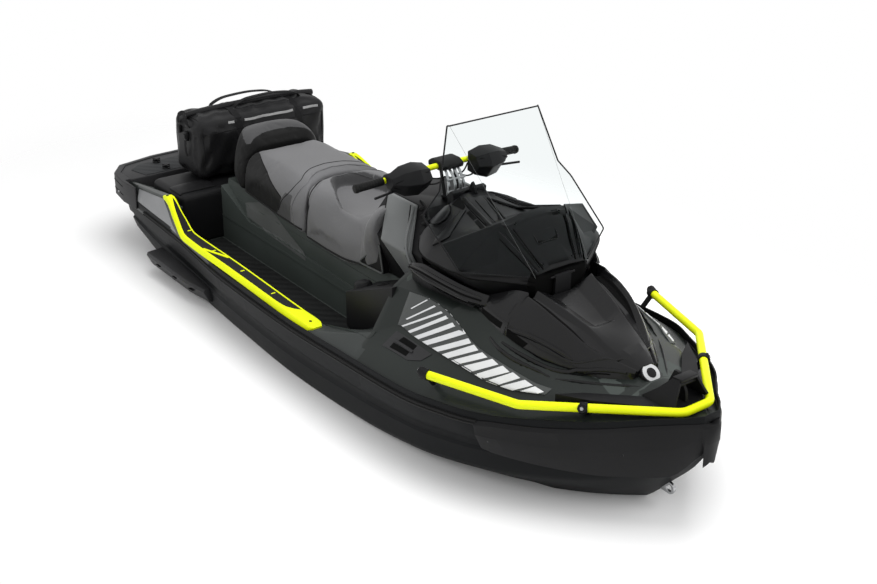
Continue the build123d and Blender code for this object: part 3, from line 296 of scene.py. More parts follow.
# Powder coat is a baked film with a faint orange peel.
YELLOW_COAT = Finish("yellow powder coat", "#dfea12", "#d0dc08", 0.4, size=2.4, depth=0.05, mottle=300,
                     coat=0.1)
YELLOW_MOULDING = Finish("yellow moulding", "#dde80e", "#cfdb06", 0.42, size=2.0, depth=0.08, mottle=260)
STEEL = Finish("polished stainless steel", "#b9babb", "#a4a5a7", 0.22, Pattern.BRUSHED, 0.8, 0.02,
               metallic=1.0)
ALUMINIUM = Finish("cast aluminium", "#b4b5b6", "#9b9c9d", 0.35, size=1.5, depth=0.08, metallic=1.0)
ENGINE_METAL = Finish("painted engine block", "#55585a", "#44474a", 0.45, size=2.5, depth=0.2, metallic=0.4)
CLEAR = ClearSheet()
SCREEN = Finish("dark display cover", "#0c1014", "#07090c", 0.12, size=2.0, depth=0.01, mottle=80, coat=1.0)
BADGE_FILM = Finish("plain pale badge", "#b8b9ba", "#a6a7a8", 0.3, size=1.0, depth=0.01, mottle=60, coat=0.4)
# Near-black for real joints and seams, and also painted shade: laid in the hood's grooves, beside the lid's
# ridges, under lips and rims, and beside the windshield base's recess.
GAP_AND_PAINTED_SHADE = Finish("shadowed joint filler", "#080808", "#050505", 0.8, size=2.0, depth=0.05, specular=0.1)


# ------------------------------------------------------------- shaping tools


def choose(obj: Piece) -> Piece:
    """Select one object alone and make it active."""
    bpy.ops.object.select_all(action="DESELECT")
    obj.select_set(True)
    bpy.context.view_layer.objects.active = obj
    return obj


def modify(obj: Piece, kind: str, **settings: object) -> Piece:
    """Add a modifier and apply it.

    Args:
        obj: the mesh object.
        kind: the modifier's type.
        settings: its properties.

    Returns:
        The same object.
    """
    choose(obj)
    modifier = obj.modifiers.new(kind.title(), kind)
    for key, value in settings.items():
        setattr(modifier, key, value)
    bpy.ops.object.modifier_apply(modifier=modifier.name)
    return obj


def smooth(obj: Piece, degrees: float = 30) -> Piece:
    """Shade an object smooth, with hard edges above an angle."""
    choose(obj)
    bpy.ops.object.shade_smooth_by_angle(angle=math.radians(degrees))
    return obj


def eased(obj: Piece, width: float, segments: int = 2, limit: float = 25) -> Piece:
    """Round an object's hard edges with a bevel of this width in metres, and shade it smooth."""
    modify(obj, "BEVEL", width=width, segments=segments, limit_method="ANGLE",
           angle_limit=math.radians(limit), use_clamp_overlap=True, harden_normals=False)
    return smooth(obj, 35)


def welded(obj: Piece, reach: float) -> Piece:
    """Merge an object's corners that lie within reach of each other, in metres.

    Args:
        obj: the mesh object.
        reach: the greatest gap that is closed.

    Returns:
        The same object.
    """
    work = bmesh.new()
    work.from_mesh(obj.data)
    bmesh.ops.remove_doubles(work, verts=work.verts, dist=reach)
    work.to_mesh(obj.data)
    work.free()
    return obj


def bridged(x: float, half: Sequence[Pair], middle: float) -> list[Triple]:
    """Return a whole cross-section at x from its port half and its height on the centreline.

    Args:
        x: the place along the craft in metres.
        half: half breadth and height of the port half's points.
        middle: height of the point on the centreline.

    Returns:
        The points from the port side to the starboard side.
    """
    port = [(x, y, z) for y, z in half]
    return [*port, (x, 0.0, middle), *[(x, -y, z) for _, y, z in reversed(port)]]


def bearing(turn: float) -> Vector:
    """Return the direction at a turn in degrees in the side view, from forward round over the top."""
    return Vector((math.cos(math.radians(turn)), 0, math.sin(math.radians(turn))))


def mesh_piece(name: str, points: Iterable[Point], faces: Iterable[Sequence[int]]) -> Piece:
    """Make a mesh object from its points and faces, with doubles merged and faces outward.

    Args:
        name: the piece's name.
        points: corner points in metres.
        faces: corner numbers of each face.

    Returns:
        The new object.
    """
    mesh = bpy.data.meshes.new(name)
    mesh.from_pydata([tuple(p) for p in points], [], [tuple(f) for f in faces])
    work = bmesh.new()
    work.from_mesh(mesh)
    bmesh.ops.remove_doubles(work, verts=work.verts, dist=MERGE)
    bmesh.ops.dissolve_degenerate(work, edges=work.edges, dist=1e-6)
    bmesh.ops.recalc_face_normals(work, faces=work.faces)
    work.to_mesh(mesh)
    work.free()
    obj = bpy.data.objects.new(name, mesh)
    bpy.context.scene.collection.objects.link(obj)
    return obj


def loft(name: str, rings: Sequence[Points], ring_closed: bool = True,
         capped: bool = True) -> Piece:
    """Skin a row of rings that all have the same number of points.

    Args:
        name: the piece's name.
        rings: each ring's points in metres.
        ring_closed: whether each ring's last point joins its first.
        capped: whether the two end rings are filled.

    Returns:
        The skinned object.
    """
    count = len(rings[0])
    points = [point for ring in rings for point in ring]
    faces: list[Sequence[int]] = []
    for row in range(len(rings) - 1):
        here, there = row * count, (row + 1) * count
        for col in range(count if ring_closed else count - 1):
            after = (col + 1) % count
            faces.append((here + col, here + after, there + after, there + col))
    if capped and ring_closed:
        faces.append(tuple(range(count)))
        faces.append(tuple(range(len(points) - count, len(points))))
    return mesh_piece(name, points, faces)


def mirrored(obj: Piece) -> Piece:
    """Join an object with its mirror image across the craft's centreline.

    Args:
        obj: the port half.

    Returns:
        The same object with both halves.
    """
    work = bmesh.new()
    work.from_mesh(obj.data)
    copied = bmesh.ops.duplicate(work, geom=work.verts[:] + work.edges[:] + work.faces[:])["geom"]
    for part in copied:
        if isinstance(part, bmesh.types.BMVert):
            part.co.y = -part.co.y
    bmesh.ops.reverse_faces(work, faces=[part for part in copied if isinstance(part, bmesh.types.BMFace)])
    work.to_mesh(obj.data)
    work.free()
    return obj


def joined(name: str, parts: Sequence[Piece]) -> Piece:
    """Join several objects into one.

    Args:
        name: the joined piece's name.
        parts: the objects, which are used up.

    Returns:
        The joined object.
    """
    choose(parts[0])
    for part in parts:
        part.select_set(True)
    if len(parts) > 1:
        bpy.ops.object.join()
    parts[0].name = name
    return parts[0]


def settle(obj: Piece) -> Piece:
    """Move an object's place, turn and scale into its mesh."""
    choose(obj)
    bpy.ops.object.transform_apply(location=True, rotation=True, scale=True)
    return obj


def block(name: str, low: Triple, high: Triple, bevel: float = 0.002, segments: int = 2) -> Piece:
    """Make a block between two corners with rounded edges.

    Args:
        name: the piece's name.
        low: lowest corner in metres.
        high: highest corner in metres.
        bevel: edge radius in metres.
        segments: steps round each edge.

    Returns:
        The block.
    """
    bpy.ops.object.select_all(action="DESELECT")
    middle = [(a + b) / 2 for a, b in zip(low, high)]
    bpy.ops.mesh.primitive_cube_add(size=1, location=middle)
    obj = bpy.context.object
    obj.name = name
    obj.scale = [b - a for a, b in zip(low, high)]
    settle(obj)
    bpy.ops.object.mode_set(mode="EDIT")
    bpy.ops.mesh.select_all(action="SELECT")
    bpy.ops.mesh.bevel(offset=bevel, segments=segments, affect="EDGES")
    bpy.ops.object.mode_set(mode="OBJECT")
    return smooth(obj, 35)


def rod(name: str, start: Point, end: Point, radius: float, tip: float | None = None,
        sides: int = 20, bevel: float = 0.0) -> Piece:
    """Make a round bar between two points.

    Args:
        name: the piece's name.
        start: centre of its first end.
        end: centre of its other end.
        radius: radius at the first end, in metres.
        tip: radius at the other end, where it differs.
        sides: faces round it.
        bevel: radius of the end edges.

    Returns:
        The bar.
    """
    first, last = Vector(start), Vector(end)
    bpy.ops.object.select_all(action="DESELECT")
    bpy.ops.mesh.primitive_cone_add(vertices=sides, radius1=radius, radius2=radius if tip is None else tip,
                                    depth=(last - first).length, location=(first + last) / 2,
                                    rotation=(last - first).to_track_quat("Z", "Y").to_euler())
    obj = settle(bpy.context.object)
    obj.name = name
    if bevel:
        return eased(obj, bevel, 2, 50)
    return smooth(obj, 40)


def bent(line: Sequence[Vector], rounding: float) -> list[Vector]:
    """Round the corners of a line of straight runs.

    Args:
        line: the corners in metres.
        rounding: bend radius at each corner, where the runs leave room for it.

    Returns:
        The line's points with the bends between its runs.
    """
    path = [line[0]]
    for before, corner, after in zip(line, line[1:], line[2:]):
        back, ahead = before - corner, after - corner
        reach = min(rounding * math.tan((math.pi - back.angle(ahead)) / 2), back.length * 0.48,
                    ahead.length * 0.48)
        enter, leave = corner + back.normalized() * reach, corner + ahead.normalized() * reach
        path += [enter.lerp(corner, t).lerp(corner.lerp(leave, t), t)
                 for t in (0, 0.17, 0.33, 0.5, 0.67, 0.83, 1)]
    return [*path, line[-1]]


def tube(name: str, points: Points, radius: float, rounding: float = 0.0,
         sides: int = 4) -> Piece:
    """Make a round bar, cable or piping along a line of points.

    Args:
        name: the piece's name.
        points: the line in metres.
        radius: bar radius in metres.
        rounding: bend radius at each corner; with none, one smooth spline follows the points.
        sides: steps of a quarter turn round the bar.

    Returns:
        The bar as a mesh.
    """
    line = [Vector(p) for p in points]
    if rounding:
        line = bent(line, rounding)
    curve = bpy.data.curves.new(name, "CURVE")
    curve.dimensions = "3D"
    curve.bevel_depth = radius
    curve.bevel_resolution = sides
    curve.use_fill_caps = True
    spline = curve.splines.new("POLY" if rounding else "NURBS")
    spline.points.add(len(line) - 1)
    for spot, place in zip(spline.points, line):
        spot.co = (*place, 1)
    if not rounding:
        spline.order_u = min(4, len(line))
        spline.use_endpoint_u = True
        spline.resolution_u = 8
    obj = bpy.data.objects.new(name, curve)
    bpy.context.scene.collection.objects.link(obj)
    choose(obj)
    bpy.ops.object.convert(target="MESH")
    return smooth(bpy.context.object, 50)


def ribbon(name: str, points: Points, ups: Points, width: float,
           thickness: float) -> Piece:
    """Make a flat strap along a line of points.

    Args:
        name: the piece's name.
        points: its centreline in metres.
        ups: the way its flat side faces at each point.
        width: its width in metres.
        thickness: its thickness in metres.

    Returns:
        The strap.
    """
    line = [Vector(p) for p in points]
    rings = []
    for number, (place, up) in enumerate(zip(line, ups)):
        along = (line[min(number + 1, len(line) - 1)] - line[max(number - 1, 0)]).normalized()
        out = Vector(up).normalized()
        side = along.cross(out).normalized()
        out = side.cross(along).normalized()
        rings.append([place + side * (width / 2) * a + out * (thickness / 2) * b
                      for a, b in ((-1, -1), (1, -1), (1, 1), (-1, 1))])
    return eased(loft(name, rings), min(thickness * 0.3, 0.002), 1, 50)


def cut(obj: Piece, tools: Sequence[Piece]) -> Piece:
    """Cut tool shapes out of an object.

    Args:
        obj: the object that is cut.
        tools: closed shapes, which are removed afterwards.

    Returns:
        The same object.
    """
    for tool in tools:
        modify(obj, "BOOLEAN", operation="DIFFERENCE", object=tool, solver="EXACT")
        bpy.data.objects.remove(tool)
    return obj


def refined(node: str, name: str, bevel: float = 0.003, limit: float = 25, segments: int = 2,
            keep: Callable[[Vector, Vector], bool] | None = None) -> Piece:
    """Copy a frame node's shape, merge its facets, and round its edges.

    Args:
        node: the node that is copied.
        name: the new piece's name.
        bevel: edge radius in metres.
        limit: angle in degrees above which an edge is rounded.
        segments: steps round each edge.
        keep: tells by centre and normal which faces stay, where some are dropped.

    Returns:
        The new object.
    """
    work = bmesh.new()
    work.from_mesh(frame["nodes"][node].data)
    bmesh.ops.remove_doubles(work, verts=work.verts, dist=MERGE)
    bmesh.ops.dissolve_degenerate(work, edges=work.edges, dist=1e-6)
    if keep is not None:
        gone = [f for f in work.faces if not keep(f.calc_center_median(), f.normal)]
        bmesh.ops.delete(work, geom=gone, context="FACES")
    bmesh.ops.dissolve_limit(work, angle_limit=math.radians(1.0), verts=work.verts, edges=work.edges)
    mesh = bpy.data.meshes.new(name)
    work.to_mesh(mesh)
    work.free()
    obj = bpy.data.objects.new(name, mesh)
    bpy.context.scene.collection.objects.link(obj)
    return eased(obj, bevel, segments, limit) if bevel else smooth(obj, limit)


def dress(obj: Piece, finish: Finish | ClearSheet, body: str,
          replaces: Sequence[str] = ()) -> Piece:
    """Give a piece its finish, body, material slot and the nodes it stands for.

    Args:
        obj: the piece.
        finish: its finish.
        body: the moving body it rides on.
        replaces: frame nodes that it stands for.

    Returns:
        The same piece.
    """
    obj.data.materials.clear()
    obj.data.materials.append(finish.build())
    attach(obj, body)
    if replaces:
        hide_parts(*replaces)
    return obj


class Rows:
    """A table of numbers along the craft that is read smoothly between its rows."""

    def __init__(self, rows: Points) -> None:
        """Keep the rows and work out the slope of each value at each row.

        Args:
            rows: where each row stands, and then its values.
        """
        self.spots = [row[0] for row in rows]
        self.values = [row[1:] for row in rows]
        self.slopes = []
        last = len(rows) - 1
        for number in range(len(rows)):
            low, high = max(number - 1, 0), min(number + 1, last)
            here = []
            for column in range(len(self.values[0])):
                before = self.rate(low, number, column) if number else self.rate(0, 1, column)
                after = self.rate(number, high, column) if number < last else before
                here.append(0.0 if before * after <= 0 else 2 * before * after / (before + after))
            self.slopes.append(here)

    def rate(self, first: int, second: int, column: int) -> float:
        """Return a column's slope between two rows."""
        span = self.spots[second] - self.spots[first]
        return (self.values[second][column] - self.values[first][column]) / span if span else 0.0

    def at(self, spot: float) -> list[float]:
        """Return the values at a spot, held at the ends.

        Args:
            spot: the place along the table.

        Returns:
            One value for each column.
        """
        if spot <= self.spots[0]:
            return list(self.values[0])
        if spot >= self.spots[-1]:
            return list(self.values[-1])
        row = max(n for n, s in enumerate(self.spots) if s <= spot)
        span = self.spots[row + 1] - self.spots[row]
        t = (spot - self.spots[row]) / span
        a, b, c, d = 2 * t**3 - 3 * t**2 + 1, t**3 - 2 * t**2 + t, -2 * t**3 + 3 * t**2, t**3 - t**2
        return [a * v0 + b * span * m0 + c * v1 + d * span * m1 for v0, v1, m0, m1 in
                zip(self.values[row], self.values[row + 1], self.slopes[row], self.slopes[row + 1])]

    def pairs(self, spot: float) -> list[Pair]:
        """Return the values at a spot as pairs."""
        flat = self.at(spot)
        return list(zip(flat[::2], flat[1::2]))


def steps(low: float, high: float, count: int) -> list[float]:
    """Return evenly spaced numbers from low to high, both included."""
    return [low + (high - low) * n / (count - 1) for n in range(count)]


class Surface:
    """A set of pieces that lines and film are laid on."""

    def __init__(self, pieces: Sequence[Piece]) -> None:
        """Index the faces of the pieces."""
        points: list[Vector] = []
        faces: list[tuple[int, ...]] = []
        for piece in pieces:
            start = len(points)
            points += [v.co.copy() for v in piece.data.vertices]
            faces += [tuple(start + v for v in f.vertices) for f in piece.data.polygons]
        self.tree = BVHTree.FromPolygons(points, faces)

    def hit(self, place: Point, way: Point = (0, 0, -1), lift: float = 0.0) -> Vector:
        """Return where a line from a place meets the surface, or the nearest point where it misses.

        Args:
            place: where the line starts.
            way: the way it goes.
            lift: how far above the surface the answer lies.

        Returns:
            The point.
        """
        spot, normal, _, _ = self.tree.ray_cast(Vector(place), Vector(way).normalized())
        if spot is None:
            spot, normal, _, _ = self.tree.find_nearest(Vector(place))
        if normal.dot(Vector(way)) > 0:
            normal = -normal
        return spot + normal * lift

    def line(self, points: Points, way: Point = (0, 0, -1), lift: float = 0.0,
             count: int = 6) -> list[Vector]:
        """Lay a line of points on the surface, with steps between them."""
        spots = []
        for first, second in zip(points, points[1:]):
            spots += [Vector(first).lerp(Vector(second), n / count) for n in range(count)]
        spots.append(Vector(points[-1]))
        return [self.hit(spot, way, lift) for spot in spots]


def rounded(points: Points, count: int) -> list[list[float]]:
    """Read evenly spaced points from a smooth curve through a few.

    Args:
        points: the few points.
        count: how many points to return.

    Returns:
        The evenly spaced points.
    """
    run = 0.0
    rows = [[0.0, *points[0]]]
    for first, second in zip(points, points[1:]):
        run += math.dist(first, second)
        rows.append([run, *second])
    curve = Rows(rows)
    return [curve.at(spot) for spot in steps(0, run, count)]


def film(name: str, surface: Surface, corners: Sequence[Points], way: Point,
         lift: float = 0.0006, across: int = 8) -> Piece:
    """Lay thin film patches on a surface.

    Args:
        name: the piece's name.
        surface: what the film lies on.
        corners: four corners of each patch, in order round it.
        way: the way the patches are pressed on.
        lift: the film's thickness in metres.
        across: steps along and across each patch.

    Returns:
        The film as one piece.
    """
    patches = []
    for number, (a, b, c, d) in enumerate([Vector(p) for p in patch] for patch in corners):
        rings = []
        for t in steps(0, 1, across):
            left, right = a.lerp(d, t), b.lerp(c, t)
            spots = [left.lerp(right, s) for s in steps(0, 1, across)]
            top = [surface.hit(p, way, lift) for p in spots]
            low = [surface.hit(p, way, -lift) for p in reversed(spots)]
            rings.append(top + low)
        patches.append(smooth(loft(f"{name}_{number}", rings), 40))
    return joined(name, patches)


def bolt(place: Point, way: Point, radius: float = 0.007, height: float = 0.004) -> Piece:
    """Make one round-headed screw with a drive recess.

    Args:
        place: where its head sits, in metres.
        way: the way its head faces.
        radius: head radius.
        height: head height.

    Returns:
        The screw head.
    """
    base, out = Vector(place), Vector(way).normalized()
    head = rod("screw_head", base - out * height, base + out * height, radius, radius * 0.8, 16)
    choose(head)
    bpy.ops.object.mode_set(mode="EDIT")
    bpy.ops.mesh.select_all(action="DESELECT")
    work = bmesh.from_edit_mesh(head.data)
    top = max(work.faces, key=lambda f: (f.calc_center_median() - base).dot(out))
    top.select = True
    bmesh.update_edit_mesh(head.data)
    bpy.ops.mesh.inset(thickness=radius * 0.35)
    bpy.ops.transform.translate(value=tuple(out * -height * 0.9))
    bpy.ops.object.mode_set(mode="OBJECT")
    return head


# ------------------------------------------------------------------- the hull


# x, keel height, chine half breadth and height, bond line half breadth and height.
HULL_LINES = Rows([
    (-1.601, -0.22, 0.502, 0.105, 0.546, 0.268), (-1.311, -0.23, 0.515, 0.045, 0.557, 0.268),
    (-1.001, -0.23, 0.53, 0.015, 0.572, 0.268), (-0.45, -0.23, 0.56, 0.005, 0.62, 0.268),
    (0.0, -0.23, 0.575, 0.0, 0.6275, 0.268), (0.5, -0.23, 0.565, 0.02, 0.622, 0.285),
    (0.85, -0.225, 0.54, 0.05, 0.612, 0.3), (1.1, -0.205, 0.489, 0.085, 0.575, 0.325),
    (1.25, -0.16, 0.439, 0.11, 0.51, 0.335), (1.4, -0.1, 0.37, 0.14, 0.42, 0.36),
    (1.55, 0.0, 0.27, 0.175, 0.31, 0.385), (1.68, 0.143, 0.138, 0.23, 0.168, 0.41),
    (1.755, 0.232, 0.075, 0.29, 0.098, 0.425), (1.805, 0.315, 0.022, 0.35, 0.038, 0.436)])
# x, gunwale crease half breadth and height, inner lip half breadth.
GUNWALE_LINES = Rows([
    (-1.601, 0.521, 0.36, 0.499), (-1.488, 0.53, 0.377, 0.499), (-1.175, 0.545, 0.422, 0.499),
    (-1.151, 0.545, 0.425, 0.5275), (-1.02, 0.568, 0.372, 0.5275), (-0.891, 0.59, 0.32, 0.5275),
    (-0.622, 0.6, 0.322, 0.5275), (0.2, 0.6, 0.305, 0.5275), (0.36, 0.565, 0.34, 0.498),
    (0.54, 0.495, 0.396, 0.425)])
# x, deck edge, shoulder, hood seat and crown: half breadth and height of each.
FORE_LINES = Rows([
    (0.5, 0.505, 0.388, 0.395, 0.56, 0.33, 0.6, 0.06, 0.602),
    (0.62, 0.446, 0.441, 0.388, 0.575, 0.32, 0.6, 0.06, 0.602),
    (0.713, 0.454, 0.435, 0.38, 0.584, 0.31, 0.6, 0.06, 0.602),
    (0.8, 0.452, 0.432, 0.371, 0.572, 0.305, 0.594, 0.06, 0.598),
    (0.898, 0.449, 0.43, 0.36, 0.521, 0.3, 0.586, 0.06, 0.592),
    (0.97, 0.442, 0.427, 0.365, 0.497, 0.298, 0.568, 0.06, 0.581),
    (1.035, 0.437, 0.424, 0.368, 0.489, 0.295, 0.55, 0.06, 0.57),
    (1.1, 0.429, 0.418, 0.359, 0.479, 0.276, 0.532, 0.057, 0.557),
    (1.16, 0.412, 0.417, 0.35, 0.47, 0.258, 0.512, 0.054, 0.544),
    (1.22, 0.392, 0.418, 0.34, 0.462, 0.24, 0.49, 0.05, 0.53),
    (1.28, 0.357, 0.425, 0.318, 0.447, 0.21, 0.484, 0.047, 0.52),
    (1.34, 0.325, 0.432, 0.29, 0.445, 0.18, 0.477, 0.043, 0.51),
    (1.4, 0.29, 0.438, 0.255, 0.45, 0.15, 0.47, 0.04, 0.5),
    (1.54, 0.203, 0.44, 0.18, 0.45, 0.09, 0.465, 0.03, 0.48),
    (1.64, 0.14, 0.438, 0.115, 0.448, 0.05, 0.456, 0.02, 0.462),
    (1.755, 0.046, 0.434, 0.034, 0.44, 0.018, 0.444, 0.008, 0.446),
    (1.805, 0.029, 0.441, 0.02, 0.443, 0.01, 0.444, 0.004, 0.444)])


def side_of_hull(x: float, z: float) -> float:
    """Return the hull's half breadth at x and height z, between chine and bond line."""
    _, chine_y, chine_z, bond_y, bond_z = HULL_LINES.at(x)
    share = (z - chine_z) / (bond_z - chine_z)
    return chine_y + share * (bond_y - chine_y)


@dataclass
class Hull:
    """The hull below the joint line, with its bumper, rub rail and side fins."""

    wall: float = 0.006
    groove: float = 0.007
    tunnel_half: float = 0.11
    tunnel_roof: float = 0.03
    transom: float = -1.601
    tunnel_length: float = 0.75
    rail_reach: float = 0.01

    def section(self, x: float) -> list[Triple]:
        """Return the hull's outline at x, from the port top round the keel to the starboard top.

        Args:
            x: the place along the craft in metres.

        Returns:
            The outline's points.
        """
        keel_z, chine_y, chine_z, bond_y, bond_z = HULL_LINES.at(x)

        def on_side(share: float, out: float) -> Pair:
            """Return a point on the side, by its share of the height and its step outward."""
            return chine_y + (bond_y - chine_y) * share + out, chine_z + (bond_z - chine_z) * share

        near = min(1.0, (1.805 - x) / 0.3 + 0.15)
        half = [(bond_y, bond_z + 0.035), (bond_y, bond_z), on_side(0.66, 0.005 * near),
                on_side(0.6, -self.groove * near), on_side(0.46, -self.groove * near),
                on_side(0.4, 0.003 * near), (chine_y + 0.002, chine_z + 0.012),
                (chine_y - 0.012 * near, chine_z - 0.012 * near),
                (chine_y * 0.62 + 0.006, keel_z + (chine_z - keel_z) * 0.6),
                (chine_y * 0.6, keel_z + (chine_z - keel_z) * 0.53),
                (chine_y * 0.3, keel_z + (chine_z - keel_z) * 0.27)]
        return bridged(x, half, keel_z)

    def shell(self) -> Piece:
        """Build the hull shell with its jet tunnel.

        Returns:
            The shell.
        """
        xs = [*steps(self.transom, 1.05, 46), *steps(1.08, 1.805, 30)]
        rings = [self.section(x) for x in xs]
        count = len(rings[0])
        points = [p for ring in rings for p in ring]
        faces: list[Sequence[int]] = [(r * count + c, r * count + c + 1, (r + 1) * count + c + 1,
                                       (r + 1) * count + c)
                                      for r in range(len(rings) - 1) for c in range(count - 1)]
        faces += [tuple(range(count)), tuple(range(len(points) - count, len(points)))]
        hull = mesh_piece("hull_shell", points, faces)
        modify(hull, "SOLIDIFY", thickness=self.wall, offset=-1)
        rear, front = self.transom - 0.05, self.transom + self.tunnel_length
        outline = [(rear, self.tunnel_roof), (self.transom + self.tunnel_length * 0.5, self.tunnel_roof),
                   (front, -0.24), (rear, -0.24)]
        tool = loft("tunnel_tool",
                    [[(x, y, z) for x, z in outline] for y in (-self.tunnel_half, self.tunnel_half)])
        cut(hull, [tool])
        return eased(hull, 0.004, 2, 35)

    def tunnel(self) -> Piece:
        """Build the lining of the jet tunnel."""
        walls = []
        for grow in (0.0, 0.006):
            half, roof = self.tunnel_half + grow, self.tunnel_roof + grow
            walls.append([[(x, -half, low), (x, -half, top), (x, half, top), (x, half, low)]
                          for x, low, top in ((self.transom, -0.175, roof), (-1.226, -0.195, roof),
                                              (-0.87, -0.224, -0.2))])
        rings = [inner + outer[::-1] for inner, outer in zip(*walls)]
        return smooth(loft("tunnel_lining", rings), 30)

    def fascia(self) -> Piece:
        """Build the bumper that wraps the bow.

        Returns:
            The bumper.
        """
        lines = Rows([(1.195, 0.215, 0.335), (1.235, 0.205, 0.345), (1.4, 0.2, 0.366), (1.55, 0.2, 0.394),
                      (1.68, 0.205, 0.42), (1.755, 0.228, 0.437), (1.805, 0.258, 0.444)])
        rings = []
        for x in steps(1.195, 1.805, 34):
            low, high = lines.at(x)
            keel_z, _, _, bond_y, _ = HULL_LINES.at(x)
            low_y = max(side_of_hull(x, low), 0.006)
            low = max(low, keel_z + 0.01)
            middle = low + (high - low) * 0.52
            mid_y = low_y + (bond_y - low_y) * 0.72
            rings.append([(x, low_y - 0.006, low), (x, low_y + 0.01, low - 0.004), (x, mid_y + 0.014, middle),
                          (x, mid_y + 0.013, middle + 0.005), (x, bond_y + 0.012, high - 0.016),
                          (x, bond_y + 0.004, high), (x, bond_y - 0.012, high)])
        for x, y, low, high in ((1.818, 0.04, 0.268, 0.443), (1.829, 0.026, 0.284, 0.44),
                                (1.834, 0.012, 0.296, 0.437), (1.8348, 0.0, 0.3, 0.436)):
            middle = low + (high - low) * 0.52
            rings.append([(x - 0.02, y * 0.2, low), (x - 0.006, y * 0.7, low - 0.002), (x - 0.002, y, middle),
                          (x, y, middle + 0.005), (x - 0.001, y * 0.95, high - 0.016),
                          (x - 0.008, y * 0.8, high), (x - 0.03, y * 0.3, high)])
        half = mirrored(loft("bow_bumper", rings, ring_closed=False, capped=False))
        modify(welded(half, 0.0004), "SOLIDIFY", thickness=0.004, offset=-1)
        return eased(half, 0.003, 2, 30)

    def strip(self) -> Piece:
        """Build the rub rail along the joint line."""
        rings = []
        for x in steps(-1.391, 1.2, 60):
            _, _, _, y, z = HULL_LINES.at(x)
            reach = self.rail_reach
            rings.append([(x, y - 0.004, z - 0.012), (x, y + reach * 0.8, z - 0.011),
                          (x, y + reach, z - 0.006), (x, y + reach * 0.55, z - 0.002),
                          (x, y + reach, z + 0.003), (x, y + reach * 0.8, z + 0.008),
                          (x, y - 0.004, z + 0.01)])
        return smooth(mirrored(loft("rub_strip", rings)), 35)

    def build(self) -> None:
        """Build and dress every hull piece."""
        dress(self.shell(), HULL_GEL, "craft", ["hull"])
        dress(self.tunnel(), BLACK_MOULDING, "craft")
        dress(self.fascia(), BLACK_MOULDING, "craft", ["bow_fascia"])
        dress(self.strip(), RUBBER, "craft", ["rub_rail"])
        dress(refined("sponsons", "quarter_fins", 0.004, 30), GREY_MOULDING, "craft",
              ["sponsons"])
        screws = [bolt((x, side * (side_of_hull(x, z) + 0.013), z), (0.35, side, 0.1), 0.008)
                  for x, z in ((1.235, 0.262), (1.62, 0.3)) for side in BOTH]
        dress(joined("bumper_screws", screws), STEEL, "craft")
        dress(refined("bow_eye", "towing_eye", 0.002, 30), STEEL, "craft", ["bow_eye"])
        dress(refined("stern_eyes", "mooring_eyes", 0.002, 30), STEEL, "craft", ["stern_eyes"])


# ------------------------------------------------------------------- the deck


# The way in which slanting films and ridges are pressed on. Then, for each silver stripe on the fairing band,
# the near end, far end and share of its foot, and the far end, share, near end and share of its head.
SLANT = (-0.699, -0.597, -0.394)
STRIPES = ((0.636, 0.643, 0.57, 0.715, 0.97, 0.708, 0.97), (0.63, 0.639, 0.26, 0.767, 0.97, 0.758, 0.97),
           (0.62, 0.631, 0.04, 0.812, 0.97, 0.801, 0.97), (0.667, 0.684, 0.04, 0.838, 0.97, 0.825, 0.97),
           (0.712, 0.738, 0.04, 0.873, 0.97, 0.857, 0.97), (0.761, 0.793, 0.04, 0.914, 0.96, 0.892, 0.97),
           (0.821, 0.854, 0.04, 0.957, 0.9, 0.934, 0.93), (0.878, 0.913, 0.04, 1.004, 0.88, 0.972, 0.93),
           (0.932, 0.967, 0.04, 1.056, 0.87, 1.025, 0.91), (0.986, 1.034, 0.04, 1.109, 0.86, 1.076, 0.92),
           (1.055, 1.091, 0.04, 1.163, 0.83, 1.126, 0.91), (1.11, 1.156, 0.04, 1.212, 0.82, 1.175, 0.89),
           (1.169, 1.218, 0.05, 1.263, 0.75, 1.23, 0.85), (1.242, 1.3, 0.1, 1.312, 0.4, 1.271, 0.74))


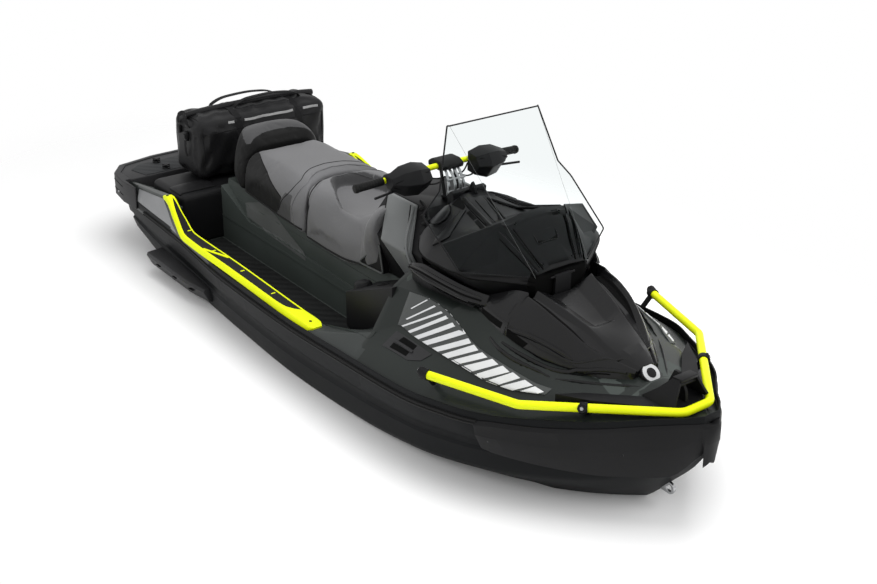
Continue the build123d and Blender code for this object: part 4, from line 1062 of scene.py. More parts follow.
@dataclass
class Deck:
    """The deck: gunwales, fore deck, footwells, pedestal, fairings and trims."""

    wall: float = 0.004
    lip: float = 0.006
    stripe_rise: float = 0.0012

    def fore_point(self, x: float, share: float) -> Vector:
        """Return a point on the fairing band at x, from the deck edge (0) to the shoulder (1)."""
        edge, shoulder = FORE_LINES.pairs(x)[:2]
        return Vector((x, edge[0] + (shoulder[0] - edge[0]) * share,
                       edge[1] + (shoulder[1] - edge[1]) * share))

    def gunwales(self) -> Piece:
        """Build the gunwale on each side of the footwells."""
        rings = []
        for x in [*steps(-1.601, -1.18, 12), *steps(-1.151, 0.54, 48)]:
            _, _, _, bond_y, bond_z = HULL_LINES.at(x)
            y, z, inner = GUNWALE_LINES.at(x)
            bulge = 0.004
            rings.append([(x, bond_y - 0.012, bond_z - 0.02), (x, bond_y, bond_z - 0.012),
                          (x, bond_y, bond_z), (x, (bond_y + y) / 2 + bulge, (bond_z + z) / 2),
                          (x, y + 0.001, z - self.lip), (x, y - 0.006, z), (x, inner + 0.004, z - 0.001),
                          (x, inner, z - 0.006), (x, inner, max(z - 0.15, 0.24)),
                          (x, inner + 0.012, max(z - 0.15, 0.24)), (x, bond_y - 0.03, bond_z - 0.02)])
        return eased(mirrored(loft("gunwale_mouldings", rings)), 0.002, 2, 30)

    def fore_deck(self) -> Piece:
        """Build the fore deck from the footwells to the bow.

        Returns:
            The deck.
        """
        rings = []
        for x in [*steps(0.5, 1.56, 44), *steps(1.59, 1.805, 12)]:
            _, _, _, bond_y, bond_z = HULL_LINES.at(x)
            edge, shoulder, seat, crown = FORE_LINES.pairs(x)
            outer = [(bond_y - 0.012, bond_z - 0.02), (bond_y, bond_z - 0.012), (bond_y, bond_z),
                     ((bond_y + edge[0]) / 2 + 0.003, (bond_z + edge[1]) / 2),
                     (edge[0] + 0.002, edge[1] - 0.006), (edge[0] - 0.003, edge[1]), shoulder, seat, crown,
                     (0.0, crown[1])]
            rings.append([(x, y, z) for y, z in outer])
        deck = mirrored(loft("fore_deck_moulding", rings, ring_closed=False, capped=False))
        modify(welded(deck, 0.0001), "SOLIDIFY", thickness=self.wall, offset=-1)
        cut(deck, [block("bin_tool", (0.572, -0.17, 0.5), (0.928, 0.17, 0.7), 0.02, 3)])
        return eased(deck, 0.0025, 2, 32)

    def tubs(self) -> Piece:
        """Build the footwell tubs and the pedestal."""

        def inside(centre: Vector, normal: Vector) -> bool:
            """Tell whether a face belongs to the inner deck."""
            y = abs(centre.y)
            if centre.x < -1.15 and y < 0.4605 and centre.z > 0.2:
                return False
            if centre.x > 0.56:
                on_top = normal.z > 0.5 and centre.z > 0.55
                return y < 0.172 and 0.38 < centre.z < 0.595 and not on_top
            return y < 0.5285 and not (y > 0.497 and normal.z > 0.5 and centre.z > 0.33)

        return refined("deck", "footwell_tubs", 0.006, 30, 3, inside)

    def rear_block(self) -> Piece:
        """Build the rounded block behind the footwells, with a low raised swell on its top."""
        body = block("rear_block_cover", (-1.474, -0.463, 0.14), (-1.15, 0.463, 0.407), 0.03, 5)
        rings = []
        for y, fade in ((0.455, 0.0), (0.44, 0.7), (0.4, 1.0), (0.28, 1.0), (0.262, 0.7), (0.25, 0.0)):
            rings.append([(-1.3, y, 0.4), (-1.3, y, 0.408 + 0.008 * fade), (-1.262, y, 0.409 + 0.01 * fade),
                          (-1.23, y, 0.409 + 0.01 * fade), (-1.19, y, 0.408 + 0.008 * fade), (-1.19, y, 0.4)])
        swell = eased(mirrored(loft("rear_block_swell", rings)), 0.004, 3, 20)
        return joined("rear_block_cover", [body, swell])

    def cleats(self, deck: Piece) -> None:
        """Lay each mooring cleat's bed on the deck, with its two dark openings and its bar.

        Args:
            deck: the fore deck.
        """
        down = (0, 0, -1)
        surface = Surface([deck])
        bed = film("cleat_beds", surface,
                   [[(0.602, 0.522, 0.7), (0.76, 0.518, 0.7), (0.76, 0.461, 0.7), (0.613, 0.461, 0.7)],
                    [(0.76, 0.518, 0.7), (0.815, 0.496, 0.7), (0.837, 0.461, 0.7), (0.76, 0.461, 0.7)]],
                   down, 0.0025, 6)
        slots = film("cleat_slots", surface,
                     [[(0.657, 0.484, 0.7), (0.666, 0.466, 0.7), (0.752, 0.466, 0.7), (0.75, 0.483, 0.7)],
                      [(0.642, 0.515, 0.7), (0.643, 0.497, 0.7), (0.741, 0.495, 0.7), (0.741, 0.511, 0.7)]],
                     down, 0.0033, 6)
        bar = [surface.hit((x, 0.49, 0.7), down, 0.006) for x in steps(0.64, 0.756, 6)]
        dress(mirrored(bed), GREY_MOULDING, "craft", ["cleats"])
        dress(mirrored(slots), GAP_AND_PAINTED_SHADE, "craft")
        dress(mirrored(ribbon("cleat_bars", bar, [(0, 0.6, 0.8)] * 6, 0.01, 0.006)), GREY_MOULDING, "craft")

    def quarter_films(self, surface: Surface) -> Piece:
        """Lay the plain pale film on each rear quarter."""
        return mirrored(film("quarter_films", surface,
                             [[(-1.47, 0.75, 0.366), (-1.18, 0.75, 0.412), (-1.01, 0.75, 0.295),
                               (-1.47, 0.75, 0.292)]],
                             (0, -1, 0), 0.0014, 12))

    def fairings(self) -> list[Piece]:
        """Build the side fairings and their silver stripes.

        Returns:
            The fairing panels and the stripes.
        """
        rings = []
        for x in steps(0.6, 1.325, 40):
            fade = min(1.0, (x - 0.592) / 0.02, (1.335 - x) / 0.04)
            edge, near = self.fore_point(x, 0.03), self.fore_point(x, 0.97)
            out = Vector((0, near.z - edge.z, edge.y - near.y)).normalized()
            high = 0.0055 * fade
            rings.append([edge - out * 0.003, edge + out * high * 0.7, edge.lerp(near, 0.04) + out * high,
                          edge.lerp(near, 0.5) + out * (high + 0.001 * fade),
                          edge.lerp(near, 0.96) + out * high, near + out * high * 0.7, near - out * 0.003])
        panel = eased(mirrored(loft("side_fairing_panels", rings)), 0.0015, 2, 30)
        surface = Surface([panel])
        slant = Vector(SLANT)
        patches = []
        for near, far, low, tip, tip_share, end, end_share in STRIPES:
            corners = [self.fore_point(near, low), self.fore_point(far, low), self.fore_point(tip, tip_share),
                       self.fore_point(end, end_share)]
            patches.append([p - slant * 0.12 for p in corners])
        stripes = mirrored(film("side_stripes", surface, patches, slant, self.stripe_rise, 9))
        return [panel, stripes]

    def band(self, name: str, spots: Points, rise: float) -> Piece:
        """Build one band along the gunwale's crease.

        Args:
            name: the piece's name.
            spots: rows of x, outer inset and inner inset from the crease.
            rise: how far its top stands above the crease.

        Returns:
            The band on both sides.
        """
        table = Rows(spots)
        rings = []
        for x in steps(spots[0][0], spots[-1][0], 44):
            outer, inner = table.at(x)
            y, z, _ = GUNWALE_LINES.at(x)
            top = z + rise
            if outer < 0:
                low_y = y - outer
                rings.append([(x, y - inner, z - 0.004), (x, y - inner, top), (x, y + 0.001, top),
                              (x, y + 0.005, top - 0.004), (x, low_y, z - 0.013),
                              (x, low_y - 0.005, z - 0.017), (x, y - 0.002, z - 0.012)])
            else:
                rings.append([(x, y - inner, z - 0.004), (x, y - inner, top - 0.001),
                              (x, y - inner + 0.001, top), (x, y - outer - 0.002, top),
                              (x, y - outer, top - 0.001), (x, y - outer, z - 0.004),
                              (x, (2 * y - inner - outer) / 2, z - 0.006)])
        return smooth(mirrored(loft(name, rings)), 35)

    def trim_details(self) -> None:
        """Build the yellow ticks across the dark infill, its slanting link and the end screws."""
        ticks = []
        for x in steps(-0.93, -0.15, 4):
            y, z, _ = GUNWALE_LINES.at(x)
            ticks.append(mirrored(block("tick", (x - 0.004, y - 0.05, z + 0.002),
                                        (x + 0.004, y - 0.03, z + 0.005), 0.001, 1)))
        link = []
        for x, inset in zip(steps(-0.715, -0.56, 8), steps(0.008, 0.058, 8)):
            y, z, _ = GUNWALE_LINES.at(x)
            link.append(Vector((x, y - inset, z + 0.0055)))
        ticks.append(mirrored(ribbon("trim_link", link, [(0, 0, 1)] * 8, 0.014, 0.004)))
        screws = []
        for x, inset in ((-1.158, 0.01), (0.16, 0.03)):
            y, z, _ = GUNWALE_LINES.at(x)
            screws += [bolt((x, side * (y - inset), z + 0.007), (0, 0, 1), 0.007, 0.002) for side in BOTH]
        dress(joined("trim_ticks", ticks), YELLOW_MOULDING, "craft")
        dress(joined("trim_screws", screws), RUBBER, "craft")

    def trims(self) -> None:
        """Build the yellow band, dark infill and thin inner line along each gunwale."""
        outer = self.band("trim_outer_band",
                          [(-1.176, -0.002, 0.016), (-1.15, -0.008, 0.028), (-1.09, -0.01, 0.014),
                           (-0.891, -0.012, 0.008), (-0.622, -0.013, 0.008), (-0.06, -0.013, 0.012),
                           (0.01, -0.014, 0.024), (0.06, -0.014, 0.064), (0.16, -0.012, 0.066),
                           (0.205, -0.008, 0.058), (0.222, 0.004, 0.045)], 0.007)
        inner = self.band("trim_inner_line",
                          [(-1.165, 0.02, 0.034), (-1.09, 0.03, 0.037), (-0.891, 0.052, 0.059),
                           (-0.622, 0.058, 0.065), (0.055, 0.059, 0.066)], 0.0065)
        infill = self.band("trim_infill",
                           [(-1.15, 0.01, 0.026), (-1.09, 0.01, 0.034), (-0.891, 0.007, 0.054),
                            (-0.622, 0.007, 0.06), (0.05, 0.014, 0.062)], 0.004)
        self.trim_details()
        dress(infill, BLACK_MOULDING, "craft", ["trim_inserts"])
        dress(inner, YELLOW_MOULDING, "craft")
        dress(outer, YELLOW_MOULDING, "craft", ["footwell_trims"])

    def build(self) -> None:
        """Build and dress every deck piece."""
        dress(self.tubs(), PEDESTAL_SKIN, "craft", ["deck"])
        dress(self.gunwales(), DECK_GEL, "craft")
        deck = dress(self.fore_deck(), FORE_GEL, "craft")
        panel, stripes = self.fairings()
        dress(panel, FAIRING_PAINT, "craft", ["side_fairings"])
        dress(stripes, SILVER_FILM, "craft")
        self.trims()
        dress(self.rear_block(), BLACK_MOULDING, "craft")
        gunwale = Surface([bpy.data.objects["gunwale_mouldings"]])
        dress(self.quarter_films(gunwale), PANEL_FILM, "craft", ["quarter_panels"])
        self.cleats(deck)
        dress(refined("pedestal_panels", "pedestal_skins", 0.001, 30), PEDESTAL_SKIN, "craft",
              ["pedestal_panels"])
        dress(refined("footwell_mats", "footwell_foam", 0.001, 30), MAT_FOAM, "craft",
              ["footwell_mats"])


def rib(name: str, points: Sequence[Vector], widths: Point, height: float, crown: float = 0.5) -> Piece:
    """Raise a tapered rib along a line that lies on a surface.

    Args:
        name: the piece's name.
        points: its centreline on the surface, in metres.
        widths: foot width at the first, middle and last point.
        height: how far it stands up.
        crown: width of its flat top over its foot width.

    Returns:
        The rib.
    """
    table = Rows([(0.0, widths[0]), (0.5, widths[1]), (1.0, widths[2])])
    rings = []
    last = len(points) - 1
    sink = 0.004
    for number, place in enumerate(points):
        along = (points[min(number + 1, last)] - points[max(number - 1, 0)]).normalized()
        side = along.cross(Vector((0, 0, 1))).normalized()
        out = side.cross(along).normalized()
        half = table.at(number / last)[0] / 2
        tall = height * min(1.0, 0.25 + 4 * min(number, last - number) / last)
        rings.append([place - side * half - out * sink, place + side * half - out * sink,
                      place + side * half * crown + out * tall, place - side * half * crown + out * tall])
    return eased(loft(name, rings), 0.0015, 2, 25)


# ------------------------------------------------------------------- the hood


# x, then half breadth and height of the skirt, flank foot, crest, groove, scoop foot, scoop edge, trough
# and crown.
HOOD_LINES = Rows([
    (1.042, 0.3, 0.52, 0.29, 0.6, 0.199, 0.68, 0.182, 0.65, 0.152, 0.652, 0.138, 0.675, 0.061, 0.637, 0.0,
     0.635),
    (1.11, 0.283, 0.498, 0.275, 0.577, 0.196, 0.668, 0.176, 0.638, 0.141, 0.636, 0.124, 0.658, 0.052, 0.618,
     0.0, 0.616),
    (1.18, 0.262, 0.47, 0.255, 0.545, 0.188, 0.646, 0.165, 0.616, 0.126, 0.614, 0.109, 0.638, 0.042, 0.599,
     0.0, 0.597),
    (1.252, 0.229, 0.464, 0.221, 0.526, 0.17, 0.614, 0.147, 0.588, 0.108, 0.596, 0.094, 0.614, 0.03, 0.581,
     0.0, 0.58),
    (1.268, 0.222, 0.462, 0.214, 0.52, 0.165, 0.605, 0.142, 0.58, 0.103, 0.59, 0.09, 0.608, 0.042, 0.594, 0.0,
     0.594),
    (1.31, 0.2, 0.459, 0.194, 0.508, 0.15, 0.58, 0.128, 0.562, 0.095, 0.574, 0.084, 0.588, 0.05, 0.586, 0.0,
     0.586),
    (1.353, 0.178, 0.455, 0.172, 0.5, 0.13, 0.556, 0.11, 0.544, 0.089, 0.554, 0.079, 0.569, 0.05, 0.574, 0.0,
     0.575),
    (1.4, 0.15, 0.45, 0.14, 0.492, 0.1, 0.538, 0.088, 0.53, 0.08, 0.537, 0.07, 0.551, 0.044, 0.559, 0.0,
     0.56),
    (1.44, 0.118, 0.448, 0.108, 0.49, 0.078, 0.528, 0.07, 0.52, 0.064, 0.525, 0.056, 0.538, 0.034, 0.545, 0.0,
     0.546),
    (1.49, 0.075, 0.445, 0.062, 0.488, 0.05, 0.512, 0.045, 0.506, 0.04, 0.509, 0.034, 0.516, 0.016, 0.519,
     0.0, 0.52)])


@dataclass
class Hood:
    """The hood: its scoop, flanks, grooves, lips and plain round badge."""

    rear: float = 1.042
    front: float = 1.49
    badge_at: Triple = (1.51, 0.0, 0.494)
    badge_radius: float = 0.036
    lip: float = 0.008

    def shell(self) -> Piece:
        """Build the hood moulding with its raised scoop and flank crests."""
        rings = []
        for x in steps(self.rear, self.front, 40):
            skirt, foot, crest, groove, toe, edge, trough, crown = HOOD_LINES.pairs(x)
            mid = ((foot[0] + crest[0]) / 2 + 0.003, (foot[1] + crest[1]) / 2 + 0.002)
            half = [skirt, (foot[0] + 0.001, foot[1] - 0.012), (foot[0] - 0.004, foot[1] + 0.002), mid,
                    (crest[0] + 0.004, crest[1] - 0.003), (crest[0] - 0.002, crest[1]), groove, toe,
                    (edge[0] + 0.002, edge[1] - 0.004), (edge[0] - 0.003, edge[1]), trough]
            rings.append(bridged(x, half, crown[1]))
        return eased(loft("hood_moulding", rings), 0.003, 2, 24)

    def ears(self) -> Piece:
        """Build the corner of each flank that reaches back beside the lid."""
        rows = Rows([(0.894, 0.3, 0.56, 0.286, 0.628, 0.276, 0.636, 0.272, 0.575),
                     (0.95, 0.303, 0.545, 0.289, 0.618, 0.244, 0.66, 0.238, 0.575),
                     (1.007, 0.304, 0.53, 0.29, 0.607, 0.204, 0.684, 0.198, 0.57),
                     (1.06, 0.298, 0.515, 0.288, 0.594, 0.192, 0.69, 0.185, 0.56)])
        rings = [[(x, y, z) for y, z in rows.pairs(x)] for x in steps(0.894, 1.06, 9)]
        return eased(mirrored(loft("flank_corners", rings)), 0.003, 2, 24)

    def grooves(self) -> Piece:
        """Build the near-black strip laid in the groove between each flank and the scoop, as painted shade.
        """
        rings = []
        for x in steps(self.rear + 0.002, 1.3, 24):
            _, _, crest, groove, toe, *_ = HOOD_LINES.pairs(x)
            left, low, right = Vector((x, *crest)), Vector((x, *groove)), Vector((x, *toe))
            narrow = 0.7 * ((x - self.rear) / 0.258) ** 2
            rings.append([left.lerp(low, 0.3 + narrow) + Vector((0, 0, 0.001)), low + Vector((0, 0, 0.0015)),
                          right.lerp(low, 0.25 + narrow) + Vector((0, 0, 0.001)),
                          low - Vector((0, 0, 0.004))])
        return mirrored(loft("groove_filling", rings))

    def lips(self, surface: Surface) -> list[Piece]:
        """Build the nested lips round the hood's foot, and near-black lines under them that paint the shadow
        in the channel between them.

        Args:
            surface: the hood and the fore deck.

        Returns:
            The lips and the painted shadow lines.
        """
        rows = {
            "outer": (0.014, 0.009, [(1.011, 0.328, 0.528), (1.06, 0.334, 0.508), (1.117, 0.328, 0.493),
                                     (1.2, 0.302, 0.477), (1.28, 0.271, 0.463)]),
            "middle": (0.016, 0.01, [(1.06, 0.314, 0.525), (1.133, 0.298, 0.505), (1.21, 0.27, 0.487),
                                     (1.279, 0.237, 0.478), (1.345, 0.185, 0.488), (1.407, 0.126, 0.5),
                                     (1.46, 0.066, 0.5), (1.492, 0.034, 0.494)]),
            "upper": (0.009, 0.004, [(1.12, 0.271, 0.574), (1.2, 0.24, 0.545), (1.313, 0.19, 0.512),
                                     (1.36, 0.15, 0.528), (1.404, 0.104, 0.542), (1.445, 0.06, 0.544)]),
            "ridge": (0.012, 0.007,
                      [(1.063, 0.287, 0.575), (1.125, 0.262, 0.571), (1.188, 0.238, 0.56), (1.25, 0.21, 0.54),
                       (1.307, 0.188, 0.519)]),
            "lower": (0.012, 0.006,
                      [(1.3, 0.262, 0.463), (1.375, 0.205, 0.464), (1.45, 0.141, 0.466), (1.51, 0.086, 0.468),
                       (1.555, 0.045, 0.47)])}
        lips, painted_shadows = [], []
        for name, (wide, tall, spots) in rows.items():
            lips.append(mirrored(rib(name + "_lip", pressed(surface, spots, 0.0, 22),
                                     (wide * 0.6, wide, wide * 0.6), tall, 0.4)))
            if name in ("middle", "ridge", "outer"):
                under = [(x, y + 0.004, z - 0.012) for x, y, z in spots]
                painted_shadows.append(mirrored(tube(name + "_shadow", pressed(surface, under, 0.0004, 22), 0.0026,
                                          sides=2)))
        panel = surface.line([(1.008, 0.196, 1.0), (0.905, 0.278, 1.0)], (0, 0, -1), 0.0005, 5)
        painted_shadows.append(mirrored(tube("flank_end_shadow", panel, 0.0022, sides=2)))
        return [joined("hood_lips", lips), joined("hood_shadow_lines", painted_shadows)]

    def badge(self) -> list[Piece]:
        """Build the plain round badge and its dark ring."""
        out = Vector((0.62, 0, 0.78)).normalized()
        place = Vector(self.badge_at)
        seat = rod("badge_seat", place - out * 0.012, place + out * 0.003, self.badge_radius + 0.005,
                   sides=40, bevel=0.0015)
        disc = rod("badge_disc", place, place + out * 0.0055, self.badge_radius, sides=40, bevel=0.001)
        middle = rod("badge_middle", place, place + out * 0.0072, self.badge_radius * 0.55, sides=32,
                     bevel=0.001)
        return [seat, disc, middle]

    def build(self) -> None:
        """Build and dress every hood piece."""
        shell = dress(smooth(self.shell(), 17), HOOD_PAINT, "craft", ["hood"])
        ears = dress(self.ears(), HOOD_PAINT, "craft")
        # The groove's near-black strip is painted shade.
        dress(self.grooves(), GAP_AND_PAINTED_SHADE, "craft")
        deck = bpy.data.objects["fore_deck_moulding"]
        lips, shadows = self.lips(Surface([shell, ears, deck]))
        dress(lips, HOOD_PAINT, "craft")
        dress(shadows, GAP_AND_PAINTED_SHADE, "craft")
        seat, disc, middle = self.badge()
        dress(seat, BLACK_MOULDING, "craft")
        dress(disc, BADGE_FILM, "craft")
        dress(middle, BLACK_MOULDING, "craft")
        cavities = film("flank_cavities", Surface([shell, ears]),
                        [[(1.052, 0.36, 0.575), (1.15, 0.36, 0.54), (1.13, 0.36, 0.515), (1.046, 0.36, 0.54)],
                         [(0.915, 0.36, 0.6), (1.035, 0.36, 0.585), (1.03, 0.36, 0.56), (0.92, 0.36, 0.575)]],
                        (0, -1, 0), 0.0008, 6)
        dress(mirrored(cavities), GAP_AND_PAINTED_SHADE, "craft")


# -------------------------------------------------------- the lid and console


# x, then half breadth and height of the lower edge, rim, shoulder, ridge foot, ridge and crown.
LID_LINES = Rows([
    (0.47, 0.2, 0.705, 0.25, 0.722, 0.19, 0.77, 0.13, 0.808, 0.085, 0.833, 0.04, 0.852),
    (0.56, 0.25, 0.64, 0.318, 0.708, 0.23, 0.762, 0.154, 0.812, 0.098, 0.838, 0.045, 0.858),
    (0.65, 0.26, 0.612, 0.345, 0.712, 0.262, 0.762, 0.18, 0.812, 0.115, 0.836, 0.05, 0.85),
    (0.74, 0.262, 0.612, 0.352, 0.718, 0.276, 0.768, 0.2, 0.83, 0.128, 0.842, 0.05, 0.846),
    (0.79, 0.262, 0.612, 0.355, 0.722, 0.276, 0.772, 0.2, 0.846, 0.132, 0.862, 0.05, 0.867),
    (0.84, 0.26, 0.612, 0.352, 0.728, 0.262, 0.776, 0.178, 0.862, 0.114, 0.882, 0.05, 0.888),
    (0.87, 0.255, 0.612, 0.338, 0.72, 0.24, 0.772, 0.16, 0.856, 0.104, 0.874, 0.05, 0.88),
    (0.95, 0.18, 0.612, 0.24, 0.706, 0.19, 0.748, 0.138, 0.786, 0.094, 0.79, 0.05, 0.791),
    (1.018, 0.11, 0.63, 0.128, 0.685, 0.126, 0.704, 0.122, 0.72, 0.086, 0.724, 0.05, 0.727)])


@dataclass
class Lid:
    """The front storage lid with its ridges, windshield, base panel and gauge."""

    rear: float = 0.47
    front: float = 1.018
    edge_shade: float = 0.0032
    fold_highlight: float = 0.0005

    def shell(self) -> Piece:
        """Build the lid moulding."""
        rings = []
        xs = [*steps(self.rear, 0.74, 14), *steps(0.752, 0.88, 12), *steps(0.895, self.front, 9)]
        for x in xs:
            low, rim, shoulder, foot, ridge, crown = LID_LINES.pairs(x)
            half = [low, (rim[0] - 0.004, rim[1] - 0.012), rim, (rim[0] - 0.006, rim[1] + 0.005),
                    ((rim[0] + shoulder[0]) / 2 + 0.003, (rim[1] + shoulder[1]) / 2 + 0.003), shoulder,
                    ((foot[0] + shoulder[0]) / 2 + 0.002, (foot[1] + shoulder[1]) / 2 + 0.003), foot, ridge,
                    crown]
            rings.append(bridged(x, half, crown[1] + 0.001))
        return eased(loft("lid_moulding", rings), 0.003, 2, 22)

    def ridges(self, surface: Surface) -> list[Piece]:
        """Build the straight ridges that run forward over the lid, with the dark slots and the near-black
        lines of painted shade beside them.

        Args:
            surface: the lid moulding.

        Returns:
            The ridges, and the painted shade lines with the slots.
        """
        back = Vector(SLANT) * -0.35

        def laid(spots: Sequence[Triple], lift: float = 0.0) -> list[Vector]:
            """Press a straight-sided line onto the lid."""
            return surface.line([Vector(p) + back for p in spots], SLANT, lift, 12)

        ribs, darks = [], []
        for spots, widths, height in (([(0.502, 0.059, 0.85), (0.566, 0.078, 0.844), (1.009, 0.112, 0.728)],
                                       (0.016, 0.02, 0.01), 0.009),
                                      ([(0.564, 0.006, 0.861), (1.004, 0.089, 0.735)], (0.01, 0.011, 0.006),
                                       0.006)):
            ribs.append(mirrored(rib("lid_ridge", laid(spots), widths, height, 0.3)))
        # These near-black tubes paint the shade beside each ridge and in the channel between the ridges.
        for spots, radius in (([(0.506, 0.069, 0.84), (0.572, 0.09, 0.836), (1.008, 0.121, 0.721)], 0.0024),
                              ([(0.563, 0.048, 0.855), (1.009, 0.103, 0.729)], 0.0016),
                              ([(0.582, 0.001, 0.86), (1.009, 0.08, 0.732)], 0.004)):
            darks.append(mirrored(tube("lid_channel", laid(spots, 0.0008), radius, sides=2)))
        slots = [[(0.59, 0.114, 0.826), (0.593, 0.1, 0.833), (0.69, 0.145, 0.846), (0.688, 0.16, 0.84)],
                 [(0.706, 0.168, 0.842), (0.708, 0.153, 0.848), (0.822, 0.207, 0.862), (0.818, 0.221, 0.855)],
                 [(0.482, 0.062, 0.846), (0.555, 0.092, 0.836), (0.562, 0.108, 0.829), (0.484, 0.102, 0.824)]]
        darks.append(mirrored(film("lid_slots", surface,
                                   [[Vector(p) + back for p in spots] for spots in slots], SLANT, 0.0016, 6)))
        return [joined("lid_ridges", ribs), joined("lid_channels", darks)]

    def dish(self, surface: Surface) -> list[Piece]:
        """Build the raised boss and the slanting arm in each rear corner of the lid.

        Args:
            surface: the lid moulding.

        Returns:
            The boss and the arm, each on both sides.
        """
        down = (0, 0, -1)
        boss = [(0.47, 0.196), (0.47, 0.118), (0.488, 0.11), (0.528, 0.142), (0.546, 0.178), (0.532, 0.199),
                (0.5, 0.206)]
        arm = [(0.582, 0.108), (0.626, 0.19), (0.65, 0.242), (0.612, 0.294), (0.59, 0.262), (0.572, 0.19),
               (0.566, 0.12)]
        made = []
        for name, plan, rise in (("dish_boss", boss, 0.012), ("dish_arm", arm, 0.005)):
            top = [surface.hit((x, y, 1.2), down, rise) for x, y in plan]
            foot = [surface.hit((x, y, 1.2), down, -0.006) for x, y in plan]
            made.append(mirrored(eased(loft(name, [foot, top]), rise * 0.45, 3, 20)))
        return made

    def base_panel(self) -> None:
        """Build the windshield's base panel with its recess, tab and screws."""
        panel = refined("windshield_base", "windshield_base_panel", 0.002, 25)
        surface = Surface([panel])
        down = Vector((-0.65, 0, -0.76))
        start = 0.2

        def laid(x: float, y: float, z: float, lift: float = 0.0) -> Vector:
            """Return a point pressed onto the panel."""
            return surface.hit(Vector((x, y, z)) - down * start, down, lift)

        frame_bits = []
        corners = [(0.909, -0.056, 0.838), (0.909, 0.056, 0.838), (0.94, 0.05, 0.803), (0.94, -0.05, 0.803)]
        for first, second in zip(corners, corners[1:] + corners[:1]):
            path = [laid(*Vector(first).lerp(Vector(second), t)) for t in steps(0, 1, 5)]
            frame_bits.append(rib("recess_side", path, (0.008, 0.008, 0.008), 0.004, 0.5))
        hole = film("recess_floor", surface, [[Vector(c) - down * start for c in corners]], down, 0.0008, 6)
        # The near-black band beside the recess paints the shadow of the raised block next to it.
        band = film("panel_band", surface,
                    [[Vector(c) - down * start for c in ((0.866, 0.074, 0.886), (0.866, 0.104, 0.884),
                                                         (0.934, 0.1, 0.803), (0.934, 0.07, 0.805))]], down,
                    0.0012, 8)
        tab = film("yellow_tab", surface,
                   [[Vector(c) - down * start for c in ((0.896, 0.07, 0.852), (0.896, 0.098, 0.852),
                                                        (0.903, 0.096, 0.844), (0.903, 0.07, 0.844))]], down,
                   0.0026, 4)
        screws = [bolt(laid(x, side * y, z, 0.001), -down, 0.006, 0.003) for x, y, z in
                  ((1.004, 0.075, 0.755), (0.872, 0.108, 0.876)) for side in BOTH]
        dress(joined("recess_frame", frame_bits), LID_MOULDING, "lid")
        dress(hole, GAP_AND_PAINTED_SHADE, "lid")
        dress(band, GAP_AND_PAINTED_SHADE, "lid")
        dress(tab, YELLOW_MOULDING, "lid")
        dress(joined("panel_screws", screws), BLACK_MOULDING, "lid")
        dress(panel, LID_MOULDING, "lid", ["windshield_base"])

    def windshield(self) -> None:
        """Build the clear sheet, with dark lines along its edges as painted shade and pale lines on its two
        creases as painted highlights.
        """
        sheet = refined("windshield", "clear_sheet", 0.0, 30)
        dress(sheet, CLEAR, "lid", ["windshield"])
        crease = [(1.0245, 0.131, 0.716), (1.0075, 0.137, 0.742), (0.8715, 0.164, 0.897),
                  (0.8015, 0.177, 0.976), (0.6025, 0.217, 1.203)]
        side = [(1.0045, 0.151, 0.716), (0.8655, 0.366, 0.742), (0.6515, 0.374, 0.897),
                (0.6515, 0.297, 0.976), (0.5965, 0.224, 1.203)]
        wing = [(1.02, 0.134, 0.72), (1.004, 0.15, 0.718), (0.865, 0.362, 0.744), (0.77, 0.364, 0.812),
                (0.87, 0.17, 0.886)]
        outer, inner = ([(x - back, y - back / 2, z) for x, y, z in wing] for back in (0.02, 0.025))
        dress(mirrored(loft("sheet_wings", [inner, outer])), LID_MOULDING, "lid")
        # The dark edge tubes are painted shade, and the pale crease tubes are painted highlights on the clear
        # sheet.
        edges, glints = [], []
        for sign in BOTH:
            edges.append(tube("sheet_edge", [(x, sign * y, z) for x, y, z in side], self.edge_shade, 0.02, 2))
            glints.append(tube("sheet_fold", [(x, sign * y, z) for x, y, z in crease], self.fold_highlight, 0.01,
                              1))
        edges.append(tube("sheet_top",
                          [(x, y, z) for x, y, z in ((0.5965, 0.224, 1.203), (0.6025, 0.217, 1.203),
                                                     (0.6025, -0.217, 1.203), (0.5965, -0.224, 1.203))],
                          self.edge_shade, 0.004, 2))
        dress(joined("sheet_edges", edges), BLACK_MOULDING, "lid")
        # The pale crease lines are painted highlights.
        dress(joined("sheet_folds", glints), COWL_PAINT, "lid")

    def gauge(self) -> None:
        """Build the gauge pod with its display cover and hooded top."""
        pod = refined("gauge_pod", "gauge_hood", 0.004, 30, 3)
        dress(pod, BLACK_MOULDING, "lid", ["gauge_pod"])
        face = block("display_cover", (0.4225, -0.07, 0.792), (0.4275, 0.07, 0.852), 0.002)
        dress(face, SCREEN, "lid")
        horn = loft("lid_bracket", [[(0.462, y, 0.85), (0.52, y, 0.85), (0.5, y, 0.884), (0.484, y, 0.9),
                                     (0.474, y, 0.884)] for y in (-0.006, 0.006)])
        hole = rod("bracket_hole", (0.487, -0.03, 0.882), (0.487, 0.03, 0.882), 0.005, sides=16)
        dress(eased(cut(horn, [hole]), 0.0012), BLACK_MOULDING, "lid")

    def build(self) -> None:
        """Build and dress every lid piece."""
        shell = dress(self.shell(), LID_MOULDING, "lid", ["storage_lid"])
        second_finish(shell, GAP_AND_PAINTED_SHADE, lambda c, n: n.x > 0.6 and c.x > 1.0)
        surface = Surface([shell])
        ribs, darks = self.ridges(surface)
        dress(ribs, LID_MOULDING, "lid")
        dress(darks, GAP_AND_PAINTED_SHADE, "lid")
        dress(joined("lid_dishes", self.dish(surface)), LID_MOULDING, "lid")
        rim = [(x, LID_LINES.pairs(x)[1][0] + 0.0012, LID_LINES.pairs(x)[1][1] - 0.004)
               for x in steps(0.49, 1.01, 30)]
        dress(mirrored(tube("lid_rim_shadow", rim, 0.0024, sides=2)), GAP_AND_PAINTED_SHADE, "lid")
        self.base_panel()
        self.windshield()
        self.gauge()


